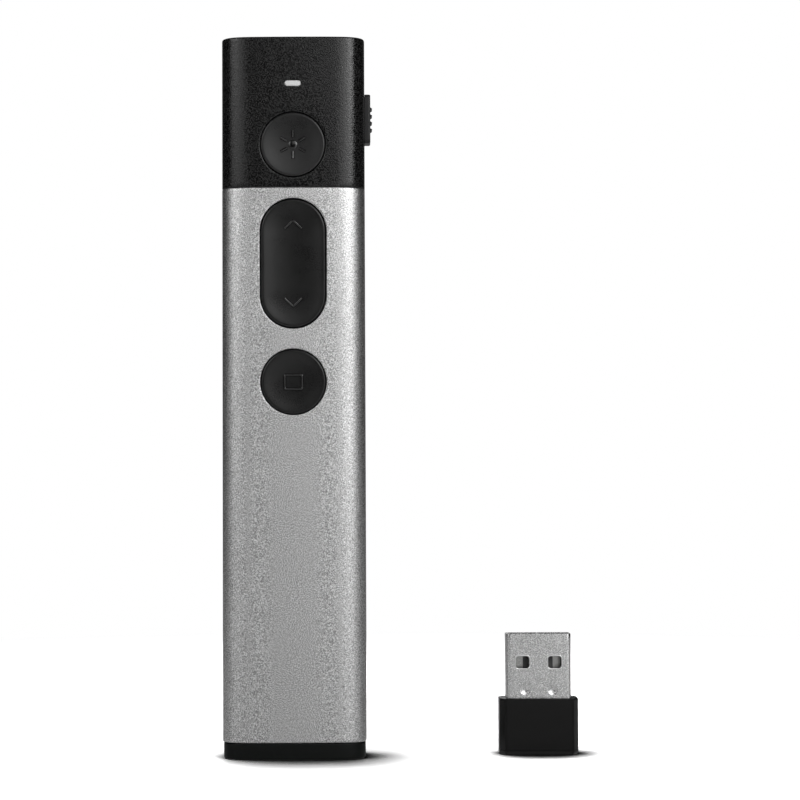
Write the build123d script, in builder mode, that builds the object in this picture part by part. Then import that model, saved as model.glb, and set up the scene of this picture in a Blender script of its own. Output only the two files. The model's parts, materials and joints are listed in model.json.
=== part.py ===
from build123d import *
import os
from math import radians, sin

os.makedirs("parts", exist_ok=True)

# Sizes are in millimetres. The pointer stands on its end cap with +Z up its length, the keys
# face -Y and the power slide is on the +X side. The receiver stands beside it on the same plane.

# Outer body
corner_radius = 4.0
smallest_corner = 0.4
face_crown = 0.4
cap_height = 3.0
cap_inset = 0.18
sleeve_wall = 1.0
head_height = 28.0
head_wall = 1.2
head_top_wall = 1.4
head_top_chamfer = 0.35
spigot_depth = 6.0
spigot_wall = 1.0
spigot_notch_margin = 1.2
edge_chamfer = 0.15

# Clearances
seam_gap = 0.1
seat_gap = 0.05
slide_gap = 0.1
key_gap = 0.15
rocker_gap = 0.2
bay_gap = 0.15

# Key, light and slide places along the body
blank_hole_above_bulkhead = 2.15
rocker_hole_above_blank_hole = 3.7
seam_above_rocker_hole = 2.0
laser_hole_above_seam = 1.85
light_below_top = 8.7
knob_below_top = 14.6

# Keys
round_hole_diameter = 12.2
rocker_hole_width = 12.3
rocker_hole_length = 24.1
key_recess = 0.1
key_rim_width = 0.6
key_rim_chamfer = 0.25
round_dish_depth = 0.4
rocker_dish_depth = 0.45
key_flange_overhang = 0.6
key_flange_thickness = 0.6
key_post_size = 2.6
key_travel = 0.35
key_tab_width = 0.8
key_tab_height = 1.6
key_tab_inset = 1.35
key_tab_engagement = 0.4

# Rocker, its tilt and its pin
rocker_tilt = 2.0
rocker_flange_thickness = 0.5
rocker_switch_inset = 4.15
rocker_post_size = 2.2
rocker_pin_diameter = 1.0
rocker_pin_behind_plungers = 0.5
rocker_lug_wall = 0.6
rocker_lug_width = 1.6
rocker_lug_inset = 1.35
ear_inset = 0.5
ear_thickness = 1.4
ear_root_depth = 0.7

# Board and what sits on it
board_thickness = 1.0
board_side_margin = 1.5
board_above_bulkhead = 1.1
board_top_gap = 4.0
switch_size = 4.5
switch_height = 1.6
plunger_setback = 2.5
plunger_size = 2.0
plunger_proud = 0.5
plunger_length = 1.0
light_width = 1.6
light_height = 0.8
light_thickness = 0.6
light_slot_length = 3.1
light_slot_height = 1.15
light_flange_overhang = 0.5
light_flange_thickness = 0.5
chip_size = 5.0
chip_thickness = 0.9
chip_below_rocker = 8.0
crystal_width = 3.2
crystal_height = 2.5
crystal_thickness = 0.7
crystal_below_chip = 7.0
antenna_trace = 0.5
antenna_thickness = 0.1
antenna_run = 5.0
antenna_pitch = 1.1
antenna_runs = 6
antenna_side_margin = 1.9
antenna_below_board_top = 0.8
screw_inset = 2.2
screw_above_bulkhead = 6.0
screw_below_seam = 2.2
screw_shank_diameter = 1.4
screw_length = 4.2
screw_head_diameter = 2.8
screw_head_height = 0.8
boss_size = 2.8

# Power slide
knob_length = 9.4
knob_width = 4.6
knob_height = 1.05
knob_corner = 0.7
knob_edge_chamfer = 0.2
knob_ridges = 4
knob_ridge_pitch = 1.3
knob_ridge_width = 0.45
knob_ridge_height = 0.33
knob_ridge_chamfer = 0.12
knob_ridge_length = 3.4
knob_stem_length = 3.0
knob_stem_width = 2.0
knob_foot_overhang = 0.8
knob_foot_thickness = 0.6
knob_travel = 2.0
slide_switch_width = 3.6
slide_switch_length = 7.8
slide_switch_height = 1.8
slide_switch_inset = 0.8
lever_width = 0.9
lever_length = 1.5
lever_seat_depth = 0.8

# Laser module
barrel_diameter = 4.8
barrel_length = 12.0
barrel_wall = 0.5
barrel_front_wall = 0.8
barrel_aperture = 2.6
barrel_board_gap = 0.25
barrel_back_gap = 1.15
diode_can_diameter = 2.9
diode_can_length = 2.4
diode_flange_thickness = 0.6
diode_depth = 1.0
diode_pin_width = 0.4
diode_pin_length = 2.6
diode_pin_circle = 0.7
lens_thickness = 1.1
lens_bevel = 0.5
window_diameter = 4.8
window_thickness = 0.65
window_aperture = 3.4

# Battery and its contacts
battery_diameter = 10.5
battery_length = 44.5
battery_nub_diameter = 3.8
battery_nub_height = 1.0
battery_side_gap = 0.25
contact_thickness = 0.3
contact_width = 7.0
contact_tab_width = 2.4
contact_tab_above_bulkhead = 2.4
strip_width = 1.6
strip_back_gap = 0.3
strip_foot_length = 1.4
spring_wire_radius = 0.25
spring_wire_sides = 4
spring_bottom_inset = 0.25
spring_turns = 4
spring_taper = 6.0
spring_room = 9.3
pillar_inset = 1.6
pillar_above_cap = 2.0
finger_width = 0.75

# Chassis
chassis_above_skirt = 0.6
bay_wall = 0.375
bulkhead_thickness = 1.4
tray_floor = 1.2
rail_overlap = 1.2
web_thickness = 1.2
rib_count = 2
cradle_wall = 1.4
cradle_length = 7.5
cradle_mouth_width = 3.4

# End cap
cap_floor = 1.3
cap_edge_chamfer = 0.35
cap_rim_wall = 1.6
skirt_height = 2.6
skirt_wall = 0.9

# Receiver
receiver_x = 45.3
receiver_y = 3.0
usb_width = 12.0
usb_thickness = 4.5
usb_wall = 0.3
usb_corner = 0.6
usb_mouth_chamfer = 0.2
usb_plug_length = 11.9
usb_shell_in_cap = 5.0
usb_window_width = 2.45
usb_window_height = 2.2
usb_window_spread = 3.0
usb_window_below_tip = 5.25
usb_dimple_diameter = 1.7
usb_dimple_depth = 0.15
usb_dimple_spread = 2.57
usb_dimple_above_cap = 1.32
usb_seam_width = 0.1
tongue_side_gap = 0.15
tongue_thickness = 1.9
tongue_below_tip = 0.5
tongue_base_above_cap = 2.6
pad_width = 1.4
pad_length = 6.4
pad_thickness = 0.1
pad_below_tip = 1.4
pad_inner_spread = 1.0
pad_outer_spread = 3.5
grip_side_margin = 1.325
grip_face_margin = 1.0
receiver_cap_height = 10.4
receiver_cap_floor = 0.9
receiver_bevel_width = 0.95
receiver_bevel_depth = 0.4
receiver_bottom_bevel = 0.4
receiver_board_thickness = 0.8
receiver_board_side_gap = 0.25
receiver_chip_size = 3.4
receiver_chip_thickness = 0.8

# Places and sizes worked out from the sizes above
receiver_cap_width = usb_width + 2 * grip_side_margin
receiver_cap_depth = usb_thickness + 2 * grip_face_margin
tongue_width = usb_width - 2 * (usb_wall + tongue_side_gap)
receiver_board_width = tongue_width - 2 * receiver_board_side_gap
usb_tip_z = receiver_cap_height + usb_plug_length
usb_shell_bottom_z = receiver_cap_height - usb_shell_in_cap

# The body is wide enough for the cell beside the receiver, and deep enough for the cell below
# and for the keys, the board and the laser barrel above
bay_width = bay_gap + usb_width / 2 + receiver_cap_width / 2 + slide_gap
body_width = 2 * sleeve_wall + seat_gap + battery_diameter + bay_wall + bay_width
board_setback = plunger_setback + plunger_proud + switch_height
barrel_room = barrel_board_gap + barrel_diameter + barrel_back_gap
body_depth = max(
    battery_diameter + 2 * (battery_side_gap + sleeve_wall),
    board_setback + board_thickness + barrel_room + head_wall,
)
front_y = -body_depth / 2
inner_half_width = body_width / 2 - sleeve_wall
chassis_inset = sleeve_wall + slide_gap
spigot_outer_inset = sleeve_wall + seat_gap
spigot_inner_inset = spigot_outer_inset + spigot_wall
tray_inset = spigot_inner_inset + slide_gap

# Up the length: end cap, spring, cell, bulkhead, then the keys and the seam
pillar_top_z = cap_height + pillar_above_cap
chassis_bottom_z = cap_height + skirt_height + chassis_above_skirt
battery_bottom_z = pillar_top_z + contact_thickness + spring_room
battery_top_z = battery_bottom_z + battery_length
bulkhead_bottom_z = battery_top_z + seat_gap + contact_thickness
bulkhead_top_z = bulkhead_bottom_z + bulkhead_thickness
round_hole_radius = round_hole_diameter / 2
blank_key_z = bulkhead_top_z + blank_hole_above_bulkhead + round_hole_radius
rocker_z = blank_key_z + round_hole_radius + rocker_hole_above_blank_hole + rocker_hole_length / 2
sleeve_top_z = rocker_z + rocker_hole_length / 2 + seam_above_rocker_hole
laser_key_z = sleeve_top_z + laser_hole_above_seam + round_hole_radius
head_top_z = sleeve_top_z + head_height
head_ceiling_z = head_top_z - head_top_wall
light_z = head_top_z - light_below_top
knob_z = head_top_z - knob_below_top
knob_middle_z = knob_z + knob_travel / 2
spigot_bottom_z = sleeve_top_z - spigot_depth
step_z = spigot_bottom_z - 2 * slide_gap

# Cell and receiver bay, side by side
battery_x = battery_diameter / 2 + seat_gap - inner_half_width
channel_radius = battery_diameter / 2 + seat_gap
bay_x = inner_half_width - slide_gap - receiver_cap_width / 2
bay_left_x = bay_x - receiver_cap_width / 2 - bay_gap
bay_half_depth = receiver_cap_depth / 2 + bay_gap
shelf_z = cap_height + 2 * slide_gap + receiver_cap_height + bay_gap
bay_top_z = shelf_z + usb_plug_length + bay_gap
strip_right_x = bay_x - usb_width / 2 - bay_gap
pillar_half_width = battery_diameter / 2 - pillar_inset
spring_bottom_radius = pillar_half_width - spring_bottom_inset

# Board, and what is fixed to it or passes it
board_half_width = inner_half_width - board_side_margin
rail_inner_x = board_half_width - rail_overlap
ear_inner_x = board_half_width - ear_inset - ear_thickness
screw_spread = board_half_width - screw_inset
slide_switch_right_x = board_half_width - slide_switch_inset
antenna_start_x = board_half_width - antenna_side_margin - (antenna_runs - 1) * antenna_pitch
board_front_y = front_y + board_setback
board_back_y = board_front_y + board_thickness
board_bottom_z = bulkhead_top_z + board_above_bulkhead
board_top_z = head_ceiling_z - board_top_gap
board_height = board_top_z - board_bottom_z
lever_y = board_back_y + slide_switch_height / 2
lower_screw_z = bulkhead_top_z + screw_above_bulkhead
upper_screw_z = sleeve_top_z - screw_below_seam
screw_places = ((-screw_spread, lower_screw_z), (screw_spread, upper_screw_z))
barrel_y = board_back_y + barrel_board_gap + barrel_diameter / 2
barrel_top_z = head_ceiling_z - seat_gap
barrel_bottom_z = barrel_top_z - barrel_length
barrel_bore_radius = barrel_diameter / 2 - barrel_wall

# Keys
round_key_radius = round_hole_radius - key_gap
key_tab_spread = round_key_radius - key_tab_inset
rocker_half_width = rocker_hole_width / 2 - rocker_gap
rocker_half_length = rocker_hole_length / 2 - rocker_gap
rocker_switch_spread = rocker_hole_length / 2 - rocker_switch_inset
rocker_lug_spread = rocker_half_width - rocker_lug_inset
rocker_pin_setback = plunger_setback + rocker_pin_behind_plungers
rocker_pin_y = front_y + rocker_pin_setback
rocker_lug_radius = rocker_pin_diameter / 2 + seat_gap + rocker_lug_wall


def face_drop(x):
    # How far the crowned face falls back from its middle at a distance x
    return face_crown * (2 * x / body_width) ** 2


def front_plane(setback):
    # A plane that faces the keys' side, set back from the foremost line of the body
    return Plane.XZ.offset(body_depth / 2 - setback)


def body_outline(inset):
    # The crowned flat tube section of the body, inset from its outer surface
    width = body_width - 2 * inset
    depth = body_depth - 2 * inset
    edge_y = depth / 2 - face_crown * (width / body_width) ** 2
    with BuildSketch() as outline:
        with BuildLine():
            front = ThreePointArc((-width / 2, -edge_y), (0, -depth / 2), (width / 2, -edge_y))
            back = ThreePointArc((width / 2, edge_y), (0, depth / 2), (-width / 2, edge_y))
            Line(front @ 1, back @ 0)
            Line(back @ 1, front @ 0)
        make_face()
        fillet(outline.vertices(), max(corner_radius - inset, smallest_corner))
    return outline.sketch


outer_outline = body_outline(0)
sleeve_bore_outline = body_outline(sleeve_wall)
cap_outline = body_outline(cap_inset)
cap_pocket_outline = body_outline(cap_inset + cap_rim_wall)
chassis_outline = body_outline(chassis_inset)
skirt_bore_outline = body_outline(chassis_inset + skirt_wall)
head_bore_outline = body_outline(head_wall)
spigot_outline = body_outline(spigot_outer_inset)
spigot_bore_outline = body_outline(spigot_inner_inset)
tray_outline = body_outline(tray_inset)

# Body sleeve, an extruded tube with a pill hole and a round hole in its front
with BuildPart() as body_sleeve:
    with BuildSketch(Plane.XY.offset(cap_height + seam_gap)):
        add(outer_outline)
        add(sleeve_bore_outline, mode=Mode.SUBTRACT)
    extrude(amount=sleeve_top_z - cap_height - seam_gap)
    for end_face in body_sleeve.faces().filter_by(Axis.Z):
        chamfer(end_face.outer_wire().edges(), edge_chamfer)
    with BuildSketch(front_plane(0)):
        with Locations((0, rocker_z)):
            SlotOverall(rocker_hole_length, rocker_hole_width, rotation=90)
        with Locations((0, blank_key_z)):
            Circle(round_hole_diameter / 2)
    extrude(amount=-body_depth / 2, mode=Mode.SUBTRACT)
    hole_edges = body_sleeve.edges(Select.LAST)
    chamfer(hole_edges.filter_by_position(Axis.Y, front_y, front_y + sleeve_wall / 3), edge_chamfer)
body_sleeve.part.label = "body_sleeve"
export_step(body_sleeve.part, "parts/body_sleeve.step")

# Head shell, closed at the top, with a spigot that enters the sleeve
with BuildPart() as head_shell:
    with BuildSketch(Plane.XY.offset(sleeve_top_z)):
        add(outer_outline)
    extrude(amount=head_height)
    chamfer(head_shell.edges().group_by(Axis.Z)[-1], head_top_chamfer)
    chamfer(head_shell.edges().group_by(Axis.Z)[0], edge_chamfer)
    with BuildSketch(Plane.XY.offset(spigot_bottom_z)):
        add(spigot_outline)
    extrude(amount=spigot_depth + spigot_wall)
    with BuildSketch(Plane.XY.offset(spigot_bottom_z)):
        add(spigot_bore_outline)
    extrude(amount=spigot_depth + spigot_wall, mode=Mode.SUBTRACT)
    with BuildSketch(Plane.XY.offset(sleeve_top_z + spigot_wall)):
        add(head_bore_outline)
    extrude(amount=head_ceiling_z - sleeve_top_z - spigot_wall, mode=Mode.SUBTRACT)
    # The spigot is notched round the rocker
    with BuildSketch(front_plane(sleeve_wall / 2)):
        with Locations((0, rocker_z)):
            SlotOverall(
                rocker_hole_length + 2 * spigot_notch_margin,
                rocker_hole_width + 2 * spigot_notch_margin,
                rotation=90,
            )
    extrude(amount=-body_depth / 2 + sleeve_wall, mode=Mode.SUBTRACT)
    # Key hole and light slot in the front
    with BuildSketch(front_plane(0)):
        with Locations((0, laser_key_z)):
            Circle(round_hole_diameter / 2)
        with Locations((0, light_z)):
            SlotOverall(light_slot_length, light_slot_height)
    extrude(amount=-body_depth / 2, mode=Mode.SUBTRACT)
    # Slot for the power slide's stem in the right side
    with BuildSketch(Plane.YZ.offset(body_width / 2)):
        with Locations((lever_y, knob_middle_z)):
            Rectangle(knob_stem_width + 2 * slide_gap, knob_stem_length + knob_travel + 2 * slide_gap)
    extrude(amount=-2 * head_wall, mode=Mode.SUBTRACT)
    # Laser opening in the top, with a seat for its window
    with Locations((0, barrel_y, head_top_z)):
        CounterBoreHole(
            window_aperture / 2, window_diameter / 2 + seat_gap, window_thickness + seat_gap, head_top_wall
        )
head_shell.part.label = "head_shell"
export_step(head_shell.part, "parts/head_shell.step")

# Inner chassis: battery side and receiver bay below, board tray above
with BuildPart() as inner_chassis:
    with BuildSketch(Plane.XY.offset(chassis_bottom_z)):
        add(chassis_outline)
    extrude(amount=step_z - chassis_bottom_z)
    with BuildSketch(Plane.XY.offset(step_z)):
        add(tray_outline)
    extrude(amount=board_top_z - step_z)
    # Battery channel, open to the front, the back and the left wall of the sleeve
    with BuildSketch(Plane.XY.offset(chassis_bottom_z)):
        with Locations((battery_x, 0)):
            Circle(channel_radius)
            with Locations((contact_width / 2, 0)):
                Rectangle(body_width, body_depth, align=(Align.MAX, Align.CENTER))
    extrude(amount=bulkhead_bottom_z - chassis_bottom_z, mode=Mode.SUBTRACT)
    # Mouth of the receiver bay, open to the right wall of the sleeve
    with BuildSketch(Plane.XY.offset(chassis_bottom_z)):
        with Locations((bay_left_x, 0)):
            Rectangle(body_width, 2 * bay_half_depth, align=(Align.MIN, Align.CENTER))
    extrude(amount=shelf_z - chassis_bottom_z, mode=Mode.SUBTRACT)
    # Slot for the receiver's plug
    with BuildSketch(Plane.XY.offset(shelf_z)):
        with Locations((bay_x, 0)):
            Rectangle(usb_width + 2 * bay_gap, usb_thickness + 2 * bay_gap)
    extrude(amount=bay_top_z - shelf_z, mode=Mode.SUBTRACT)
    # Cored pockets above the bay, with cross ribs and a middle web between them
    core_left_x = battery_x + channel_radius + web_thickness
    core_right_x = inner_half_width - slide_gap - web_thickness
    core_bottom_z = bay_top_z + web_thickness
    core_height = (bulkhead_bottom_z - core_bottom_z - rib_count * web_thickness) / (rib_count + 1)
    for side in (-1, 1):
        for row in range(rib_count + 1):
            pocket_z = core_bottom_z + row * (core_height + web_thickness)
            with Locations((core_left_x, side * (web_thickness + body_depth) / 2, pocket_z)):
                Box(
                    core_right_x - core_left_x,
                    body_depth,
                    core_height,
                    align=(Align.MIN, Align.CENTER, Align.MIN),
                    mode=Mode.SUBTRACT,
                )
    # Board tray: room behind the board, then everything in front of the board's back face
    for bottom_z, top_z, inset in (
        (bulkhead_top_z, step_z, chassis_inset),
        (step_z, board_top_z - tray_floor, tray_inset),
    ):
        with Locations((0, body_depth / 2 - inset - tray_floor, bottom_z)):
            Box(
                2 * rail_inner_x,
                body_depth,
                top_z - bottom_z,
                align=(Align.CENTER, Align.MAX, Align.MIN),
                mode=Mode.SUBTRACT,
            )
    with Locations((0, board_back_y, bulkhead_top_z)):
        Box(
            body_width,
            body_depth,
            board_top_z - bulkhead_top_z,
            align=(Align.CENTER, Align.MAX, Align.MIN),
            mode=Mode.SUBTRACT,
        )
    # Ears that hold the rocker's pin
    for side in (-1, 1):
        with BuildSketch(Plane.YZ.offset(side * (ear_inner_x + ear_thickness / 2))):
            with Locations((rocker_pin_y, rocker_z)):
                Circle(rocker_lug_radius)
                Rectangle(
                    board_back_y + ear_root_depth - rocker_pin_y,
                    2 * rocker_lug_radius,
                    align=(Align.MIN, Align.CENTER),
                )
        extrude(amount=ear_thickness / 2, both=True)
    with Locations(Location((0, rocker_pin_y, rocker_z), (0, 90, 0))):
        Cylinder(rocker_pin_diameter / 2 + seat_gap / 2, body_width, mode=Mode.SUBTRACT)
    # Bosses for the two board screws
    for place, inset in zip(screw_places, (chassis_inset, tray_inset)):
        with BuildSketch(Plane.XZ.offset(-board_back_y)):
            with Locations(place):
                Rectangle(boss_size, boss_size)
        extrude(amount=-(body_depth / 2 - inset - tray_floor - board_back_y))
    with BuildSketch(Plane.XZ.offset(-board_back_y)):
        with Locations(*screw_places):
            Circle(screw_shank_diameter / 2 + seat_gap)
    extrude(amount=-screw_length, mode=Mode.SUBTRACT)
    # Cradle for the laser barrel, open at its back
    cradle_front_y = board_back_y + barrel_board_gap
    with Locations((0, cradle_front_y, board_top_z - cradle_length)):
        Box(
            barrel_diameter + 2 * cradle_wall,
            body_depth / 2 - tray_inset - tray_floor - cradle_front_y,
            cradle_length,
            align=(Align.CENTER, Align.MIN, Align.MIN),
        )
    with Locations((0, barrel_y, barrel_bottom_z - seam_gap)):
        Cylinder(
            barrel_diameter / 2 + seat_gap,
            barrel_length,
            align=(Align.CENTER, Align.CENTER, Align.MIN),
            mode=Mode.SUBTRACT,
        )
        Box(
            cradle_mouth_width,
            body_depth,
            barrel_length,
            align=(Align.CENTER, Align.MIN, Align.MIN),
            mode=Mode.SUBTRACT,
        )
    # Notch in the right rail for the power slide
    notch_half_height = max(slide_switch_length, knob_stem_length + 2 * knob_foot_overhang + knob_travel) / 2
    with Locations((rail_inner_x - web_thickness, board_back_y - slide_gap, knob_middle_z)):
        Box(
            body_width,
            slide_switch_height + 3 * slide_gap,
            2 * (notch_half_height + slide_gap),
            align=(Align.MIN, Align.MIN, Align.CENTER),
            mode=Mode.SUBTRACT,
        )
    # Passages in the bulkhead for the battery's contact tab and the negative strip
    with Locations((battery_x, board_back_y - slide_gap, bulkhead_bottom_z)):
        Box(
            contact_tab_width + 2 * slide_gap,
            contact_thickness + 2 * slide_gap,
            bulkhead_thickness,
            align=(Align.CENTER, Align.MIN, Align.MIN),
            mode=Mode.SUBTRACT,
        )
    strip_front_y = body_depth / 2 - chassis_inset - strip_back_gap - contact_thickness
    with Locations((strip_right_x + slide_gap, strip_front_y - slide_gap / 2, chassis_bottom_z)):
        Box(
            strip_width + 2 * slide_gap,
            body_depth,
            bulkhead_top_z + contact_thickness + slide_gap - chassis_bottom_z,
            align=(Align.MAX, Align.MIN, Align.MIN),
            mode=Mode.SUBTRACT,
        )
    with Locations((strip_right_x + slide_gap, board_back_y, bulkhead_top_z)):
        Box(
            strip_width + 2 * slide_gap,
            body_depth,
            contact_thickness + slide_gap,
            align=(Align.MAX, Align.MIN, Align.MIN),
            mode=Mode.SUBTRACT,
        )
inner_chassis.part.label = "inner_chassis"
export_step(inner_chassis.part, "parts/inner_chassis.step")

# Main board with notches for the ears, slots for the key tabs and screw holes
with BuildPart() as main_board:
    with BuildSketch(front_plane(board_setback)):
        with Locations((0, board_bottom_z + board_height / 2)):
            Rectangle(2 * board_half_width, board_height)
        with Locations((0, laser_key_z), (0, blank_key_z)):
            with GridLocations(2 * key_tab_spread, 0, 2, 1):
                Rectangle(
                    key_tab_width + 2 * slide_gap, key_tab_height + 2 * slide_gap, mode=Mode.SUBTRACT
                )
        with Locations(*screw_places):
            Circle(screw_shank_diameter / 2 + seat_gap, mode=Mode.SUBTRACT)
        for side in (-1, 1):
            with Locations((side * (ear_inner_x - slide_gap), rocker_z)):
                Rectangle(
                    body_width,
                    2 * (rocker_lug_radius + slide_gap),
                    align=(Align.MIN if side > 0 else Align.MAX, Align.CENTER),
                    mode=Mode.SUBTRACT,
                )
    extrude(amount=-board_thickness)
main_board.part.label = "main_board"
export_step(main_board.part, "parts/main_board.step")

# Board screws, driven from the front into the bosses
with BuildPart() as board_screws:
    with BuildSketch(front_plane(board_setback)):
        with Locations(*screw_places):
            Circle(screw_head_diameter / 2)
    extrude(amount=screw_head_height)
    with BuildSketch(front_plane(board_setback)):
        with Locations(*screw_places):
            Circle(screw_shank_diameter / 2)
    extrude(amount=-(board_thickness + screw_length - seam_gap))
board_screws.part.label = "board_screws"
export_step(board_screws.part, "parts/board_screws.step")


def tact_switch(center_z):
    # A small push switch on the board's front, with a bore for its plunger
    with BuildPart() as switch:
        with BuildSketch(front_plane(board_setback)):
            with Locations((0, center_z)):
                Rectangle(switch_size, switch_size)
        extrude(amount=switch_height)
        with BuildSketch(front_plane(board_setback - switch_height)):
            with Locations((0, center_z)):
                Rectangle(plunger_size + 2 * seat_gap, plunger_size + 2 * seat_gap)
        bore_depth = plunger_length - plunger_proud + key_travel + seat_gap
        extrude(amount=-bore_depth, mode=Mode.SUBTRACT)
    return switch.part


def switch_plunger(center_z, pressed_in):
    # The plunger of a push switch, at rest or at the bottom of its stroke
    with BuildPart() as plunger:
        with BuildSketch(front_plane(plunger_setback + pressed_in)):
            with Locations((0, center_z)):
                Rectangle(plunger_size, plunger_size)
        extrude(amount=-plunger_length)
    return plunger.part


# Push switches and their plungers; the rocker's two are drawn at the bottom of their stroke
for name, center_z, pressed_in in (
    ("laser", laser_key_z, 0),
    ("page_up", rocker_z + rocker_switch_spread, key_travel),
    ("page_down", rocker_z - rocker_switch_spread, key_travel),
    ("blank", blank_key_z, 0),
):
    switch_part = tact_switch(center_z)
    switch_part.label = name + "_switch"
    export_step(switch_part, f"parts/{name}_switch.step")
    plunger_part = switch_plunger(center_z, pressed_in)
    plunger_part.label = name + "_plunger"
    export_step(plunger_part, f"parts/{name}_plunger.step")


def dish_radius(half_width, depth):
    # The radius of a ball that sinks to a depth inside a rim
    return (half_width**2 + depth**2) / (2 * depth)


def round_key(center_z, wall):
    # A dished round key with a flange behind the wall, two guide tabs and a switch post
    key_y = front_y + key_recess
    flange_radius = round_key_radius + key_flange_overhang
    flange_back = wall + face_drop(flange_radius) + slide_gap + key_flange_thickness
    ball_radius = dish_radius(round_key_radius - key_rim_width, round_dish_depth)
    with BuildPart() as key:
        with BuildSketch(front_plane(flange_back)):
            with Locations((0, center_z)):
                Circle(round_key_radius)
        extrude(amount=flange_back - key_recess)
        with Locations((0, key_y + round_dish_depth - ball_radius, center_z)):
            Sphere(ball_radius, mode=Mode.SUBTRACT)
        rim_edges = key.edges().filter_by(GeomType.CIRCLE).group_by(Axis.Y)[0]
        chamfer(rim_edges.sort_by(SortBy.RADIUS)[-1], key_rim_chamfer)
        with BuildSketch(front_plane(flange_back)):
            with Locations((0, center_z)):
                Circle(flange_radius)
        extrude(amount=key_flange_thickness)
        with BuildSketch(front_plane(flange_back)):
            with Locations((0, center_z)):
                Rectangle(key_post_size, key_post_size)
        extrude(amount=flange_back - plunger_setback)
        with BuildSketch(front_plane(flange_back)):
            with Locations((0, center_z)):
                with GridLocations(2 * key_tab_spread, 0, 2, 1):
                    Rectangle(key_tab_width, key_tab_height)
        extrude(amount=flange_back - board_setback - key_tab_engagement)
    return key.part


for name, center_z, wall in (
    ("laser_button", laser_key_z, head_wall),
    ("blank_button", blank_key_z, sleeve_wall),
):
    key_part = round_key(center_z, wall)
    key_part.label = name
    export_step(key_part, f"parts/{name}.step")

# Page rocker, one pill-shaped key with a long dish, that tilts on a pin behind it
rocker_flange_half_width = rocker_half_width + key_flange_overhang
rocker_flange_half_length = rocker_half_length + key_flange_overhang
rocker_flange_front = (
    sleeve_wall
    + face_drop(rocker_flange_half_width)
    + rocker_flange_half_length * sin(radians(rocker_tilt))
    + slide_gap
)
rocker_flange_back = rocker_flange_front + rocker_flange_thickness
rocker_post_reach = rocker_switch_spread + rocker_post_size / 2
rocker_post_end = (
    plunger_setback + key_travel - rocker_post_reach * sin(radians(rocker_tilt)) - seat_gap
)
with BuildPart() as page_rocker:
    with BuildSketch(front_plane(rocker_flange_back)):
        with Locations((0, rocker_z)):
            SlotOverall(2 * rocker_half_length, 2 * rocker_half_width, rotation=90)
    extrude(amount=rocker_flange_back - key_recess)
    # The dish is a long cylinder with round ends, sunk into the face
    dish_half_width = rocker_half_width - key_rim_width
    ball_radius = dish_radius(dish_half_width, rocker_dish_depth)
    dish_y = front_y + key_recess + rocker_dish_depth - ball_radius
    dish_half_run = rocker_half_length - rocker_half_width
    with Locations((0, dish_y, rocker_z)):
        Cylinder(ball_radius, 2 * dish_half_run, mode=Mode.SUBTRACT)
    with Locations((0, dish_y, rocker_z - dish_half_run), (0, dish_y, rocker_z + dish_half_run)):
        Sphere(ball_radius, mode=Mode.SUBTRACT)
    rim_edges = page_rocker.faces().sort_by(Axis.Y)[0].outer_wire().edges()
    chamfer(rim_edges, key_rim_chamfer)
    with BuildSketch(front_plane(rocker_flange_back)):
        with Locations((0, rocker_z)):
            SlotOverall(2 * rocker_flange_half_length, 2 * rocker_flange_half_width, rotation=90)
    extrude(amount=rocker_flange_thickness)
    # Posts over the two switches
    with BuildSketch(front_plane(rocker_flange_back)):
        with Locations((0, rocker_z)):
            with GridLocations(0, 2 * rocker_switch_spread, 1, 2):
                Rectangle(rocker_post_size, rocker_post_size)
    extrude(amount=rocker_flange_back - rocker_post_end)
    # Lugs for the pin
    for side in (-1, 1):
        with BuildSketch(Plane.YZ.offset(side * rocker_lug_spread)):
            with Locations((rocker_pin_y, rocker_z)):
                Circle(rocker_lug_radius)
                Rectangle(
                    rocker_pin_setback - rocker_flange_back,
                    2 * rocker_lug_radius,
                    align=(Align.MAX, Align.CENTER),
                )
        extrude(amount=rocker_lug_width / 2, both=True)
    with Locations(Location((0, rocker_pin_y, rocker_z), (0, 90, 0))):
        Cylinder(rocker_pin_diameter / 2 + seat_gap, body_width, mode=Mode.SUBTRACT)
page_rocker.part.label = "page_rocker"
export_step(page_rocker.part, "parts/page_rocker.step")

# Rocker pin, a steel rod between the chassis ears
with BuildPart() as rocker_pin:
    with BuildSketch(Plane.YZ):
        with Locations((rocker_pin_y, rocker_z)):
            Circle(rocker_pin_diameter / 2)
    extrude(amount=ear_inner_x + ear_thickness, both=True)
rocker_pin.part.label = "rocker_pin"
export_step(rocker_pin.part, "parts/rocker_pin.step")

# Status light and its light pipe
with BuildPart() as status_led:
    with BuildSketch(front_plane(board_setback)):
        with Locations((0, light_z)):
            Rectangle(light_width, light_height)
    extrude(amount=light_thickness)
status_led.part.label = "status_led"
export_step(status_led.part, "parts/status_led.step")

light_flange_back = head_wall + face_drop(light_slot_length / 2 + light_flange_overhang)
light_flange_back += seat_gap + light_flange_thickness
with BuildPart() as light_pipe:
    with BuildSketch(front_plane(light_flange_back)):
        with Locations((0, light_z)):
            SlotOverall(light_slot_length - 2 * seat_gap, light_slot_height - 2 * seat_gap)
    extrude(amount=light_flange_back - key_recess)
    with BuildSketch(front_plane(light_flange_back)):
        with Locations((0, light_z)):
            Rectangle(
                light_slot_length + 2 * light_flange_overhang, light_slot_height + 2 * light_flange_overhang
            )
    extrude(amount=light_flange_thickness)
    with BuildSketch(front_plane(light_flange_back)):
        with Locations((0, light_z)):
            Rectangle(light_width, light_height)
    extrude(amount=light_flange_back - board_setback + light_thickness + slide_gap)
light_pipe.part.label = "light_pipe"
export_step(light_pipe.part, "parts/light_pipe.step")

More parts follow.
